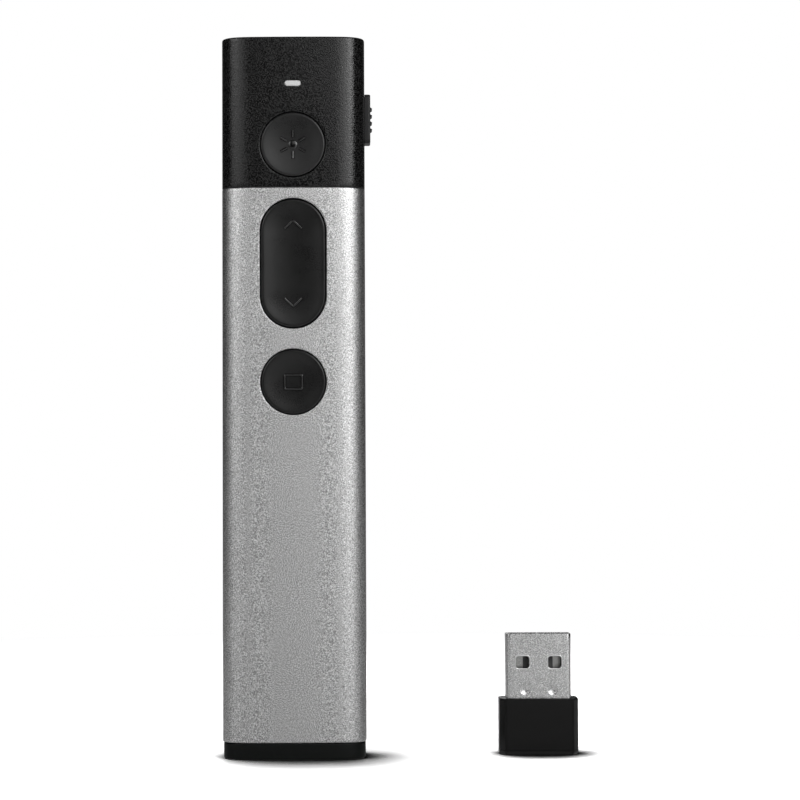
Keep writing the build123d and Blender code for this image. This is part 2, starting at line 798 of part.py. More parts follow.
# Radio chip and crystal on the board's back
chip_z = rocker_z - chip_below_rocker
with BuildPart() as radio_chip:
    with BuildSketch(Plane.XZ.offset(-board_back_y)):
        with Locations((0, chip_z)):
            Rectangle(chip_size, chip_size)
    extrude(amount=-chip_thickness)
radio_chip.part.label = "radio_chip"
export_step(radio_chip.part, "parts/radio_chip.step")

with BuildPart() as crystal:
    with BuildSketch(Plane.XZ.offset(-board_back_y)):
        with Locations((0, chip_z - crystal_below_chip)):
            Rectangle(crystal_width, crystal_height)
    extrude(amount=-crystal_thickness)
crystal.part.label = "crystal"
export_step(crystal.part, "parts/crystal.step")

# Antenna, a folded trace on the board inside the plastic head
antenna_top_z = board_top_z - antenna_below_board_top
with BuildPart() as antenna:
    with BuildSketch(front_plane(board_setback)):
        for run in range(antenna_runs):
            with Locations((antenna_start_x + run * antenna_pitch, antenna_top_z)):
                Rectangle(antenna_trace, antenna_run, align=(Align.CENTER, Align.MAX))
        for run in range(antenna_runs - 1):
            joint_z = antenna_top_z if run % 2 == 0 else antenna_top_z - antenna_run + antenna_trace
            with Locations((antenna_start_x + (run + 0.5) * antenna_pitch, joint_z)):
                Rectangle(antenna_pitch, antenna_trace, align=(Align.CENTER, Align.MAX))
    extrude(amount=antenna_thickness)
antenna.part.label = "antenna"
export_step(antenna.part, "parts/antenna.step")

# Slide switch on the board's back, with its lever
with BuildPart() as slide_switch:
    with Locations((slide_switch_right_x, lever_y, knob_middle_z)):
        Box(
            slide_switch_width,
            slide_switch_height,
            slide_switch_length,
            align=(Align.MAX, Align.CENTER, Align.CENTER),
        )
        Box(
            2 * (lever_seat_depth + slide_gap),
            lever_width + 2 * slide_gap,
            lever_length + knob_travel + 2 * slide_gap,
            mode=Mode.SUBTRACT,
        )
slide_switch.part.label = "slide_switch"
export_step(slide_switch.part, "parts/slide_switch.step")

foot_outer_x = body_width / 2 - head_wall - seat_gap
foot_inner_x = foot_outer_x - knob_foot_thickness
with BuildPart() as switch_lever:
    with BuildSketch(Plane.YZ.offset(slide_switch_right_x - lever_seat_depth)):
        with Locations((lever_y, knob_z)):
            Rectangle(lever_width, lever_length)
    extrude(amount=foot_inner_x + lever_seat_depth - slide_switch_right_x + lever_seat_depth)
switch_lever.part.label = "switch_lever"
export_step(switch_lever.part, "parts/switch_lever.step")

# Power knob: ridged slab outside, stem through the head's wall, foot inside it
slab_inner_x = body_width / 2 + seat_gap
with BuildPart() as power_knob:
    with BuildSketch(Plane.YZ.offset(slab_inner_x)):
        with Locations((lever_y, knob_z)):
            RectangleRounded(knob_width, knob_length, knob_corner)
    extrude(amount=knob_height)
    chamfer(power_knob.edges().group_by(Axis.X)[-1], knob_edge_chamfer)
    with BuildSketch(Plane.YZ.offset(slab_inner_x + knob_height)):
        with Locations((lever_y, knob_z)):
            with GridLocations(0, knob_ridge_pitch, 1, knob_ridges):
                Rectangle(knob_ridge_length, knob_ridge_width)
    extrude(amount=knob_ridge_height)
    chamfer(power_knob.edges().group_by(Axis.X)[-1], knob_ridge_chamfer)
    with BuildSketch(Plane.YZ.offset(slab_inner_x)):
        with Locations((lever_y, knob_z)):
            Rectangle(knob_stem_width, knob_stem_length)
    extrude(amount=foot_inner_x - slab_inner_x)
    with BuildSketch(Plane.YZ.offset(foot_inner_x)):
        with Locations((lever_y, knob_z)):
            Rectangle(knob_stem_width + 2 * knob_foot_overhang, knob_stem_length + 2 * knob_foot_overhang)
    extrude(amount=knob_foot_thickness)
    with BuildSketch(Plane.YZ.offset(foot_inner_x)):
        with Locations((lever_y, knob_z)):
            Rectangle(lever_width + seat_gap, lever_length + seat_gap)
    extrude(amount=lever_seat_depth + seat_gap, mode=Mode.SUBTRACT)
power_knob.part.label = "power_knob"
export_step(power_knob.part, "parts/power_knob.step")

# Laser barrel, a brass tube with a narrow opening at its front
with BuildPart() as laser_barrel:
    with BuildSketch(Plane.XY.offset(barrel_bottom_z)):
        with Locations((0, barrel_y)):
            Circle(barrel_diameter / 2)
    extrude(amount=barrel_length)
    with BuildSketch(Plane.XY.offset(barrel_bottom_z)):
        with Locations((0, barrel_y)):
            Circle(barrel_bore_radius)
    extrude(amount=barrel_length - barrel_front_wall, mode=Mode.SUBTRACT)
    with Locations((0, barrel_y, barrel_top_z)):
        Hole(barrel_aperture / 2, 2 * barrel_front_wall)
laser_barrel.part.label = "laser_barrel"
export_step(laser_barrel.part, "parts/laser_barrel.step")

# Laser diode: flange, can and three pins
diode_z = barrel_bottom_z + diode_depth
with BuildPart() as laser_diode:
    with BuildSketch(Plane.XY.offset(diode_z)):
        with Locations((0, barrel_y)):
            Circle(barrel_bore_radius - seat_gap)
    extrude(amount=diode_flange_thickness)
    with BuildSketch(Plane.XY.offset(diode_z + diode_flange_thickness)):
        with Locations((0, barrel_y)):
            Circle(diode_can_diameter / 2)
    extrude(amount=diode_can_length)
    with BuildSketch(Plane.XY.offset(diode_z)):
        with Locations((0, barrel_y)):
            with PolarLocations(diode_pin_circle, 3):
                Rectangle(diode_pin_width, diode_pin_width)
    extrude(amount=-diode_pin_length)
laser_diode.part.label = "laser_diode"
export_step(laser_diode.part, "parts/laser_diode.step")

# Laser lens, flat towards the opening and bevelled towards the diode
lens_top_z = barrel_top_z - barrel_front_wall - seat_gap
with BuildPart() as laser_lens:
    with BuildSketch(Plane.XY.offset(lens_top_z)):
        with Locations((0, barrel_y)):
            Circle(barrel_bore_radius - seat_gap)
    extrude(amount=-lens_thickness)
    chamfer(laser_lens.edges().group_by(Axis.Z)[0], lens_bevel)
laser_lens.part.label = "laser_lens"
export_step(laser_lens.part, "parts/laser_lens.step")

# Laser window in its seat in the head's top
with BuildPart() as laser_window:
    with BuildSketch(Plane.XY.offset(head_top_z - seat_gap)):
        with Locations((0, barrel_y)):
            Circle(window_diameter / 2)
    extrude(amount=-window_thickness)
laser_window.part.label = "laser_window"
export_step(laser_window.part, "parts/laser_window.step")

# Battery cell, its nub up
with BuildPart() as battery_cell:
    with BuildSketch(Plane.XY.offset(battery_bottom_z)):
        with Locations((battery_x, 0)):
            Circle(battery_diameter / 2)
    extrude(amount=battery_length - battery_nub_height)
    with BuildSketch(Plane.XY.offset(battery_top_z - battery_nub_height)):
        with Locations((battery_x, 0)):
            Circle(battery_nub_diameter / 2)
    extrude(amount=battery_nub_height)
battery_cell.part.label = "battery_cell"
export_step(battery_cell.part, "parts/battery_cell.step")

# Positive contact over the nub, with a tab up to the board
with BuildPart() as battery_contact_positive:
    with BuildSketch(Plane.XY.offset(battery_top_z + seat_gap)):
        with Locations((battery_x, 0)):
            Rectangle(contact_width, contact_width)
    extrude(amount=contact_thickness)
    with BuildSketch(Plane.XZ.offset(-board_back_y)):
        with Locations((battery_x, battery_top_z + seat_gap)):
            Rectangle(
                contact_tab_width,
                bulkhead_top_z + contact_tab_above_bulkhead - battery_top_z - seat_gap,
                align=(Align.CENTER, Align.MIN),
            )
    extrude(amount=-contact_thickness)
battery_contact_positive.part.label = "battery_contact_positive"
export_step(battery_contact_positive.part, "parts/battery_contact_positive.step")

# Negative strip, from a foot under the chassis up its back and over the bulkhead to the board
strip_back_y = strip_front_y + contact_thickness
foot_bottom_z = chassis_bottom_z - contact_thickness
with BuildPart() as negative_strip:
    with BuildSketch(Plane.YZ.offset(strip_right_x)):
        with BuildLine():
            Polyline(
                (strip_back_y - strip_foot_length, foot_bottom_z),
                (strip_back_y, foot_bottom_z),
                (strip_back_y, bulkhead_top_z + contact_thickness),
                (board_back_y + contact_thickness, bulkhead_top_z + contact_thickness),
                (board_back_y + contact_thickness, bulkhead_top_z + contact_tab_above_bulkhead),
                (board_back_y, bulkhead_top_z + contact_tab_above_bulkhead),
                (board_back_y, bulkhead_top_z),
                (strip_front_y, bulkhead_top_z),
                (strip_front_y, chassis_bottom_z),
                (strip_back_y - strip_foot_length, chassis_bottom_z),
                close=True,
            )
        make_face()
    extrude(amount=-strip_width)
negative_strip.part.label = "negative_strip"
export_step(negative_strip.part, "parts/negative_strip.step")

# End cap: cored slab below, skirt inside the sleeve, pillar under the battery spring
with BuildPart() as end_cap:
    with BuildSketch(Plane.XY):
        add(cap_outline)
    extrude(amount=cap_height)
    chamfer(end_cap.edges().group_by(Axis.Z)[0], cap_edge_chamfer)
    with BuildSketch(Plane.XY.offset(cap_floor)):
        add(cap_pocket_outline)
    extrude(amount=cap_height - cap_floor, mode=Mode.SUBTRACT)
    with BuildSketch(Plane.XY.offset(cap_floor)):
        add(chassis_outline)
        add(skirt_bore_outline, mode=Mode.SUBTRACT)
    extrude(amount=cap_height + skirt_height - cap_floor)
    with Locations((bay_left_x - slide_gap, 0, cap_height)):
        Box(
            body_width,
            2 * (bay_half_depth + slide_gap),
            cap_height + skirt_height,
            align=(Align.MIN, Align.CENTER, Align.MIN),
            mode=Mode.SUBTRACT,
        )
    with BuildSketch(Plane.XY.offset(cap_floor)):
        with Locations((battery_x, 0)):
            Rectangle(2 * pillar_half_width, 2 * pillar_half_width)
    extrude(amount=pillar_top_z - cap_floor)
end_cap.part.label = "end_cap"
export_step(end_cap.part, "parts/end_cap.step")

# Contact plate on the pillar, with a finger and a nib that meets the negative strip's foot
finger_outer_y = body_depth / 2 - chassis_inset - skirt_wall - slide_gap - face_drop(inner_half_width) / 2
finger_middle_y = finger_outer_y - finger_width / 2
with BuildPart() as contact_plate:
    with BuildSketch(Plane.XY.offset(pillar_top_z)):
        with Locations((battery_x, 0)):
            Rectangle(2 * pillar_half_width, 2 * pillar_half_width)
        with Locations((battery_x, finger_middle_y)):
            Rectangle(strip_right_x - battery_x, finger_width, align=(Align.MIN, Align.CENTER))
    extrude(amount=contact_thickness)
    with Locations((strip_right_x, finger_middle_y, pillar_top_z + contact_thickness)):
        Box(
            finger_width,
            finger_width,
            foot_bottom_z - seat_gap - pillar_top_z - contact_thickness,
            align=(Align.MAX, Align.CENTER, Align.MIN),
        )
contact_plate.part.label = "contact_plate"
export_step(contact_plate.part, "parts/contact_plate.step")

# Battery spring, a tapered coil from the contact plate up to the cell
spring_bottom_z = pillar_top_z + contact_thickness + spring_wire_radius
spring_height = battery_bottom_z - spring_wire_radius - spring_bottom_z
with BuildPart() as battery_spring:
    with BuildLine() as coil:
        Helix(
            spring_height / spring_turns,
            spring_height,
            spring_bottom_radius,
            center=(battery_x, 0, spring_bottom_z),
            cone_angle=-spring_taper,
        )
    with BuildSketch(Plane(origin=coil.line @ 0, z_dir=coil.line % 0)):
        RegularPolygon(spring_wire_radius, spring_wire_sides)
    sweep(is_frenet=True)
battery_spring.part.label = "battery_spring"
export_step(battery_spring.part, "parts/battery_spring.step")

# Receiver: folded steel plug shell with latch windows, dimples and a seam at its back
receiver_plane = Plane((receiver_x, receiver_y, 0))
with BuildPart() as usb_shell:
    with BuildSketch(receiver_plane.offset(usb_shell_bottom_z)):
        RectangleRounded(usb_width, usb_thickness, usb_corner)
        RectangleRounded(
            usb_width - 2 * usb_wall, usb_thickness - 2 * usb_wall, usb_corner - usb_wall, mode=Mode.SUBTRACT
        )
    extrude(amount=usb_tip_z - usb_shell_bottom_z)
    mouth_edges = usb_shell.faces().sort_by(Axis.Z)[-1].outer_wire().edges()
    chamfer(mouth_edges, usb_mouth_chamfer)
    with Locations((receiver_x, receiver_y, usb_tip_z - usb_window_below_tip)):
        with GridLocations(2 * usb_window_spread, 0, 2, 1):
            Box(usb_window_width, 2 * usb_thickness, usb_window_height, mode=Mode.SUBTRACT)
    dimple_ball = dish_radius(usb_dimple_diameter / 2, usb_dimple_depth)
    dimple_y = receiver_y - usb_thickness / 2 + usb_dimple_depth - dimple_ball
    with Locations((receiver_x, dimple_y, receiver_cap_height + usb_dimple_above_cap)):
        with GridLocations(2 * usb_dimple_spread, 0, 2, 1):
            Sphere(dimple_ball, mode=Mode.SUBTRACT)
    with Locations((receiver_x, receiver_y + usb_thickness / 2, usb_tip_z)):
        Box(usb_seam_width, 3 * usb_wall, 3 * usb_tip_z, mode=Mode.SUBTRACT)
usb_shell.part.label = "usb_shell"
export_step(usb_shell.part, "parts/usb_shell.step")

# Plug insert: a base that fills the shell's foot and a tongue along its back half
shell_inner_half_depth = usb_thickness / 2 - usb_wall
insert_back_y = receiver_y + shell_inner_half_depth - seat_gap
tongue_front_y = insert_back_y - tongue_thickness
with BuildPart() as usb_tongue:
    with BuildSketch(receiver_plane.offset(usb_shell_bottom_z)):
        Rectangle(tongue_width, 2 * (shell_inner_half_depth - seat_gap))
    extrude(amount=usb_shell_in_cap + tongue_base_above_cap)
    with Locations((receiver_x, insert_back_y, usb_shell_bottom_z)):
        Box(
            tongue_width,
            tongue_thickness,
            usb_tip_z - tongue_below_tip - usb_shell_bottom_z,
            align=(Align.CENTER, Align.MAX, Align.MIN),
        )
    chamfer(usb_tongue.edges().group_by(Axis.Z)[-1], 2 * edge_chamfer)
usb_tongue.part.label = "usb_tongue"
export_step(usb_tongue.part, "parts/usb_tongue.step")

with BuildPart() as usb_contacts:
    with BuildSketch(Plane.XZ.offset(-tongue_front_y)):
        with Locations((receiver_x, usb_tip_z - pad_below_tip - pad_length / 2)):
            with GridLocations(2 * pad_inner_spread, 0, 2, 1):
                Rectangle(pad_width, pad_length)
            with GridLocations(2 * pad_outer_spread, 0, 2, 1):
                Rectangle(pad_width, pad_length)
    extrude(amount=pad_thickness)
usb_contacts.part.label = "usb_contacts"
export_step(usb_contacts.part, "parts/usb_contacts.step")

# Receiver board and chip inside the grip cap
receiver_board_bottom_z = receiver_cap_floor + seam_gap
with BuildPart() as receiver_board:
    with Locations((receiver_x, receiver_y, receiver_board_bottom_z)):
        Box(
            receiver_board_width,
            receiver_board_thickness,
            usb_shell_bottom_z - receiver_board_bottom_z,
            align=(Align.CENTER, Align.CENTER, Align.MIN),
        )
receiver_board.part.label = "receiver_board"
export_step(receiver_board.part, "parts/receiver_board.step")

with BuildPart() as receiver_chip:
    with Locations(
        (
            receiver_x,
            receiver_y - receiver_board_thickness / 2,
            (receiver_board_bottom_z + usb_shell_bottom_z) / 2,
        )
    ):
        Box(
            receiver_chip_size,
            receiver_chip_thickness,
            receiver_chip_size,
            align=(Align.CENTER, Align.MAX, Align.CENTER),
        )
receiver_chip.part.label = "receiver_chip"
export_step(receiver_chip.part, "parts/receiver_chip.step")

# Receiver cap, a bevelled grip with a socket for the plug's foot
with BuildPart() as receiver_cap:
    half_width = receiver_cap_width / 2
    half_depth = receiver_cap_depth / 2
    with BuildSketch(receiver_plane):
        with BuildLine():
            Polyline(
                (0, half_depth),
                (half_width - receiver_bevel_width, half_depth),
                (half_width, half_depth - receiver_bevel_depth),
                (half_width, 0),
            )
            mirror(about=Plane.XZ)
            mirror(about=Plane.YZ)
        make_face()
    extrude(amount=receiver_cap_height)
    chamfer(receiver_cap.edges().group_by(Axis.Z)[0], receiver_bottom_bevel)
    chamfer(receiver_cap.edges().group_by(Axis.Z)[-1], edge_chamfer)
    with BuildSketch(receiver_plane.offset(usb_shell_bottom_z)):
        RectangleRounded(usb_width + 2 * seat_gap, usb_thickness + 2 * seat_gap, usb_corner)
    extrude(amount=usb_shell_in_cap, mode=Mode.SUBTRACT)
    with BuildSketch(receiver_plane.offset(receiver_cap_floor)):
        Rectangle(tongue_width, 2 * shell_inner_half_depth)
    extrude(amount=usb_shell_bottom_z - receiver_cap_floor, mode=Mode.SUBTRACT)
receiver_cap.part.label = "receiver_cap"
export_step(receiver_cap.part, "parts/receiver_cap.step")
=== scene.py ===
import json
import math
import bpy
import bmesh
from mathutils import Matrix, Vector, geometry


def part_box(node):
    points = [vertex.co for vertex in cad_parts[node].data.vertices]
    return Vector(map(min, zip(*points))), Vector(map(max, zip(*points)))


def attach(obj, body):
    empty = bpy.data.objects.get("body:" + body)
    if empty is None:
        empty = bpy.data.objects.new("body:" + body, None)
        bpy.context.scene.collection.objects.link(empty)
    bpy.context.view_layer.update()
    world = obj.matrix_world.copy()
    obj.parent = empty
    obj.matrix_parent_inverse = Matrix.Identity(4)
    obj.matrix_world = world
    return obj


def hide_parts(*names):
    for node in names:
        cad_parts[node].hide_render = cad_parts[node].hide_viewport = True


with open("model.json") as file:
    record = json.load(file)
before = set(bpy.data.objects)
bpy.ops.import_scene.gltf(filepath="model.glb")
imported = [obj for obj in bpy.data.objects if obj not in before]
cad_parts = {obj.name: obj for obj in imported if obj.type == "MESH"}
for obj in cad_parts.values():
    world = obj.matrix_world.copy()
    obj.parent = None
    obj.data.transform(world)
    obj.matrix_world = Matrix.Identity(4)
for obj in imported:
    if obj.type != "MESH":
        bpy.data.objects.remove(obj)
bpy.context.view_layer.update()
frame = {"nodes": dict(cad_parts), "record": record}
mm = 0.001
print("frame loaded,", len(frame["nodes"]), "nodes")


def boxInMm(nodeName):
    low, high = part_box(nodeName)
    return low / mm, high / mm


def middleOf(nodeName, axis):
    low, high = boxInMm(nodeName)
    return (low[axis] + high[axis]) / 2


def feed(tree, node, inputs):
    # inputs by name or number, each a plain value or another node's socket
    for key, value in inputs.items():
        if isinstance(value, bpy.types.NodeSocket):
            tree.links.new(value, node.inputs[key])
        else:
            node.inputs[key].default_value = value
    return node


def addNode(tree, kind, inputs=None, **settings):
    made = tree.nodes.new(kind)
    for key, value in settings.items():
        setattr(made, key, value)
    return feed(tree, made, inputs or {})


def reckon(tree, operation, a, b):
    return addNode(tree, "ShaderNodeMath", {0: a, 1: b}, operation=operation).outputs[0]


def mapped(tree, value, low, high, toLow=0.0, toHigh=1.0, **settings):
    return addNode(tree, "ShaderNodeMapRange", {
        "Value": value, "From Min": low, "From Max": high, "To Min": toLow, "To Max": toHigh},
        **settings).outputs["Result"]


def shade(color, factor):
    channels = color if isinstance(color, tuple) else (color,) * 3
    return tuple(min(1.0, c * factor) for c in channels) + (1.0,)


# finishes: a fine grain and a slow drift of tone and gloss, on Object coordinates.
# What a look doesn't name is as in plainLook; grain, depth and drift are in millimetres.
plainLook = dict(
    roughDrift=0.03, metal=0.0, grain=0.15, grainDetail=2.0, grainRoughness=0.55, grainSoft=0.14,
    grainDepth=0.002, grainRough=0.02, speckle=0.06, drift=4, driftDetail=3.0, driftRoughness=0.5,
    driftSoft=0.2, toneDrift=0.06, ior=1.5, specular=0.5, clear=0.0)
looks = {
    # blasted aluminium, anodised silver
    "sleeveMetal": dict(slot="sleeve_metal", color=0.62, rough=0.41, roughDrift=0.02, metal=1.0,
                        grain=0.18, grainDepth=0.03, grainRough=0.05, speckle=0.55, drift=14,
                        toneDrift=0.03),
    # black plastic from an eroded mould
    "headPlastic": dict(slot="head_plastic", color=0.0105, rough=0.18, roughDrift=0.02, grain=0.22,
                        grainDetail=1.0, grainSoft=0.08, grainDepth=0.03, grainRough=0.1,
                        speckle=0.95, drift=9, toneDrift=0.1, specular=0.42),
    "capPlastic": dict(slot="cap_plastic", color=(0.0014, 0.0024, 0.002), rough=0.4, roughDrift=0.05,
                       grainDepth=0.004, speckle=0.1, drift=5, toneDrift=0.1, specular=0.2),
    "keyPlastic": dict(slot="key_plastic", color=0.004, rough=0.3, grain=0.1, grainDepth=0.001),
    # a lighter copy of keyPlastic for the laser key: painted light, drawing this key lighter than the others
    # as if more light fell on it
    "laserKeyPaintedLight": dict(color=0.013, rough=0.3, grain=0.1, grainDepth=0.001),
    "signPlastic": dict(color=0.003, rough=0.16, roughDrift=0.02, grain=0.1, grainDepth=0.001,
                        specular=0.8),
    "knobPlastic": dict(slot="knob_plastic", color=(0.009, 0.009, 0.0095), rough=0.32, grain=0.12,
                        grainDepth=0.003, speckle=0.1, toneDrift=0.08),
    "lightPipeMilk": dict(slot="light_pipe_plastic", color=0.8, rough=0.3, grain=0.2, speckle=0.03,
                          drift=2, toneDrift=0.03),
    "clearOptic": dict(slot="clear_optic", color=(0.9, 0.93, 0.95), rough=0.06, roughDrift=0.02,
                       grain=0.5, grainDepth=0.0005, speckle=0.01, toneDrift=0.02, clear=0.9),
    "chassisPlastic": dict(slot="chassis_plastic", color=(0.05, 0.05, 0.053), rough=0.5,
                           roughDrift=0.04, grain=0.25, grainDepth=0.01, speckle=0.08, drift=8),
    "boardLaminate": dict(slot="board_laminate", color=(0.02, 0.12, 0.05), rough=0.35, roughDrift=0.05,
                          grain=0.3, grainDepth=0.004, speckle=0.12, drift=3, toneDrift=0.15),
    "chipResin": dict(slot="chip_resin", color=(0.02, 0.02, 0.021), rough=0.55, grain=0.06,
                      speckle=0.1, drift=2, toneDrift=0.05),
    "switchPlastic": dict(slot="switch_plastic", color=(0.15, 0.15, 0.155), rough=0.5,
                          grainDepth=0.004, drift=3, toneDrift=0.05),
    "plungerPlastic": dict(slot="plunger_plastic", color=0.03, rough=0.45, grain=0.1, drift=2,
                           toneDrift=0.05),
    "springSteel": dict(slot="steel", color=(0.6, 0.6, 0.61), rough=0.25, roughDrift=0.06, metal=1.0,
                        grain=0.12, speckle=0.05, drift=3, toneDrift=0.08),
    "copperTrace": dict(slot="copper_trace", color=(0.75, 0.42, 0.22), rough=0.35, roughDrift=0.05,
                        metal=1.0, drift=3, toneDrift=0.1),
    "goldContact": dict(slot="gold_contact", color=(0.5, 0.5, 0.49), rough=0.3, roughDrift=0.05,
                        metal=1.0, grain=0.2, grainDepth=0.001, speckle=0.04, drift=3),
    "barrelBrass": dict(slot="barrel_brass", color=(0.75, 0.56, 0.26), rough=0.3, roughDrift=0.05,
                        metal=1.0, grain=0.2, speckle=0.04, toneDrift=0.08),
    "cellWrap": dict(slot="cell_wrap", color=(0.03, 0.04, 0.16), rough=0.3, roughDrift=0.04, grain=0.5,
                     grainDepth=0.003, speckle=0.04, drift=9, toneDrift=0.08),
    "shellSteel": dict(slot="usb_steel", color=0.93, rough=0.24, metal=1.0, grain=0.2, grainDepth=0.02,
                       grainRough=0.05, speckle=0.42, drift=5, toneDrift=0.05),
    "burnishedEdge": dict(color=0.97, rough=0.34, roughDrift=0.04, metal=1.0, grain=0.1, speckle=0.04,
                          drift=2, toneDrift=0.04),
    "tonguePlastic": dict(slot="tongue_plastic", color=0.12, rough=0.5, roughDrift=0.04, grain=0.2,
                          grainDepth=0.006, speckle=0.1, drift=3, toneDrift=0.1),
    "gripPlastic": dict(slot="receiver_plastic", color=0.0018, rough=0.22, grain=0.1,
                        grainDepth=0.0015, speckle=0.08, toneDrift=0.08, specular=0.3),
}


def makeFinish(name, ownLook):
    look = {**plainLook, **ownLook}
    finish = bpy.data.materials.new(name)
    finish.use_nodes = True
    tree = finish.node_tree
    place = addNode(tree, "ShaderNodeTexCoord").outputs["Object"]

    def noise(kind):
        return addNode(tree, "ShaderNodeTexNoise", {
            "Vector": place, "Scale": 1 / (look[kind] * mm), "Detail": look[kind + "Detail"],
            "Roughness": look[kind + "Roughness"]}).outputs["Fac"]

    def spread(value, kind, low=0.0, high=1.0):
        return mapped(tree, value, 0.5 - look[kind + "Soft"], 0.5 + look[kind + "Soft"], low, high)

    def mixed(share, colorA, colorB, blend):
        return addNode(tree, "ShaderNodeMix", {"Factor": share, 6: colorA, 7: colorB},
                       data_type="RGBA", blend_type=blend).outputs[2]

    grain, drift = noise("grain"), noise("drift")
    speckled = mixed(spread(grain, "grain"), shade(look["color"], 1 - look["speckle"]),
                     shade(look["color"], 1 + look["speckle"]), "MIX")
    drifted = mixed(spread(drift, "drift"), speckled, shade(1.0, 1 - look["toneDrift"]), "MULTIPLY")
    gloss = spread(drift, "drift", look["rough"] - look["roughDrift"], look["rough"] + look["roughDrift"])
    grainGloss = spread(grain, "grain", -look["grainRough"], look["grainRough"])
    bump = addNode(tree, "ShaderNodeBump", {
        "Height": grain, "Distance": look["grainDepth"] * mm, "Strength": 1.0})
    feed(tree, tree.nodes["Principled BSDF"], {
        "Base Color": drifted, "Roughness": reckon(tree, "ADD", gloss, grainGloss),
        "Normal": bump.outputs["Normal"], "Metallic": look["metal"], "IOR": look["ior"],
        "Specular IOR Level": look["specular"], "Transmission Weight": look["clear"]})
    return finish


finishes = {name: makeFinish(name, look) for name, look in looks.items()}
finishOfSlot = {look["slot"]: name for name, look in looks.items() if "slot" in look}
print("finishes made:", len(finishes))


# mesh tools, in millimetres: a shape holds points and faces, a loop the numbers of its points
def newShape():
    return {"points": [], "faces": []}


def addLoop(shape, points):
    first = len(shape["points"])
    shape["points"].extend(tuple(p) for p in points)
    return list(range(first, first + len(points)))


def levelLoop(shape, outline, z, centre=(0, 0)):
    return addLoop(shape, [(centre[0] + x, centre[1] + y, z) for x, y in outline])


def frontLoop(shape, outline, y):
    return addLoop(shape, [(x, y, z) for x, z in outline])


def bridge(shape, loopA, loopB, skip=()):
    count = len(loopA)
    for i in range(count):
        j = (i + 1) % count
        if i not in skip:
            shape["faces"].append((loopA[i], loopA[j], loopB[j], loopB[i]))


def bridgeAll(shape, loops):
    for loopA, loopB in zip(loops, loops[1:]):
        bridge(shape, loopA, loopB)


def closeEnds(shape, loops):
    shape["faces"] += [tuple(reversed(loops[0])), tuple(loops[-1])]


def insideLoop(point, outline):
    inside = False
    for a, b in zip(outline, outline[1:] + outline[:1]):
        if (a[1] > point[1]) != (b[1] > point[1]):
            if point[0] < a[0] + (point[1] - a[1]) / (b[1] - a[1]) * (b[0] - a[0]):
                inside = not inside
    return inside


def fillPanel(shape, outer, holes=(), axes=(0, 1), lift=None, spacing=None):
    # triangles between an outer loop and holes, with spare points so that none is long and thin
    loops = [outer, *holes]
    ids = [i for loop in loops for i in loop]
    flat = [Vector([shape["points"][i][axis] for axis in axes]) for i in ids]
    edges, outlines, first = [], [], 0
    for loop in loops:
        count = len(loop)
        edges += [(first + i, first + (i + 1) % count) for i in range(count)]
        outlines.append(flat[first:first + count])
        first += count

    def within(spot):
        return insideLoop(spot, outlines[0]) and not any(insideLoop(spot, o) for o in outlines[1:])

    if spacing:
        extra = []
        lowU, lowV = (min(p[i] for p in flat) for i in (0, 1))
        highU, highV = (max(p[i] for p in flat) for i in (0, 1))
        for i in range(int((highU - lowU) / spacing)):
            for j in range(int((highV - lowV) / spacing)):
                spot = Vector((lowU + (i + 0.5) * spacing, lowV + (j + 0.5) * spacing))
                if within(spot) and min((spot - p).length for p in flat) > 0.6 * spacing:
                    extra.append(spot)
        ids += addLoop(shape, [lift(*spot) for spot in extra])
        flat += extra
    points, _, faces, sources = geometry.delaunay_2d_cdt(flat, edges, [], 0, 1e-7)[:4]
    for face in faces:
        if within(sum((points[k] for k in face), Vector((0, 0))) / len(face)):
            shape["faces"].append(tuple(ids[sources[k][0]] for k in face))


def panelWall(shape, ring, rows, span, steps, spacing, panels):
    # rings joined into a wall; in the span of heights, the front and rear panels are filled round holes
    loops = [ring(z) for z in rows]
    count = len(loops[0])
    inSpan = [span[0] - 1e-6 <= z <= span[1] + 1e-6 for z in rows]
    lines = [[count // 2 - k if rear else k % count for k in range(-steps, steps + 1)]
             for rear, _, _ in panels]
    skip = {k for line in lines for k in line if (k + 1) % count in line}
    for k in range(len(rows) - 1):
        bridge(shape, loops[k], loops[k + 1], skip if inSpan[k] and inSpan[k + 1] else ())
    foot, *between, crest = [loop for loop, inside in zip(loops, inSpan) if inside]
    for line, (_, holes, lift) in zip(lines, panels):
        outer = ([foot[k] for k in line] + [loop[line[-1]] for loop in between]
                 + [crest[k] for k in reversed(line)] + [loop[line[0]] for loop in reversed(between)])
        fillPanel(shape, outer, holes, (0, 2), lift, spacing)
    return loops


def addBox(shape, low, high):
    corners = [(low[0], low[1]), (high[0], low[1]), (high[0], high[1]), (low[0], high[1])]
    bottom, top = levelLoop(shape, corners, low[2]), levelLoop(shape, corners, high[2])
    closeEnds(shape, [bottom, top])
    bridge(shape, bottom, top)


def addPost(shape, x, z, halfWidth, halfHeight, start, end):
    # a box that runs in depth from start to end
    addBox(shape, (x - halfWidth, start, z - halfHeight), (x + halfWidth, end, z + halfHeight))


def pill(halfRun, radius, count, centre=(0, 0), lying=False):
    # a circle stretched by halfRun each way along its second axis, or along its first where it lies
    points = []
    for k in range(count):
        angle = 2 * math.pi * (k + 0.5) / count
        across, along = radius * math.cos(angle), radius * math.sin(angle)
        run = halfRun if along > 0 else -halfRun
        if lying:
            points.append((centre[0] + along + run, centre[1] + across))
        else:
            points.append((centre[0] + across, centre[1] + along + run))
    return points


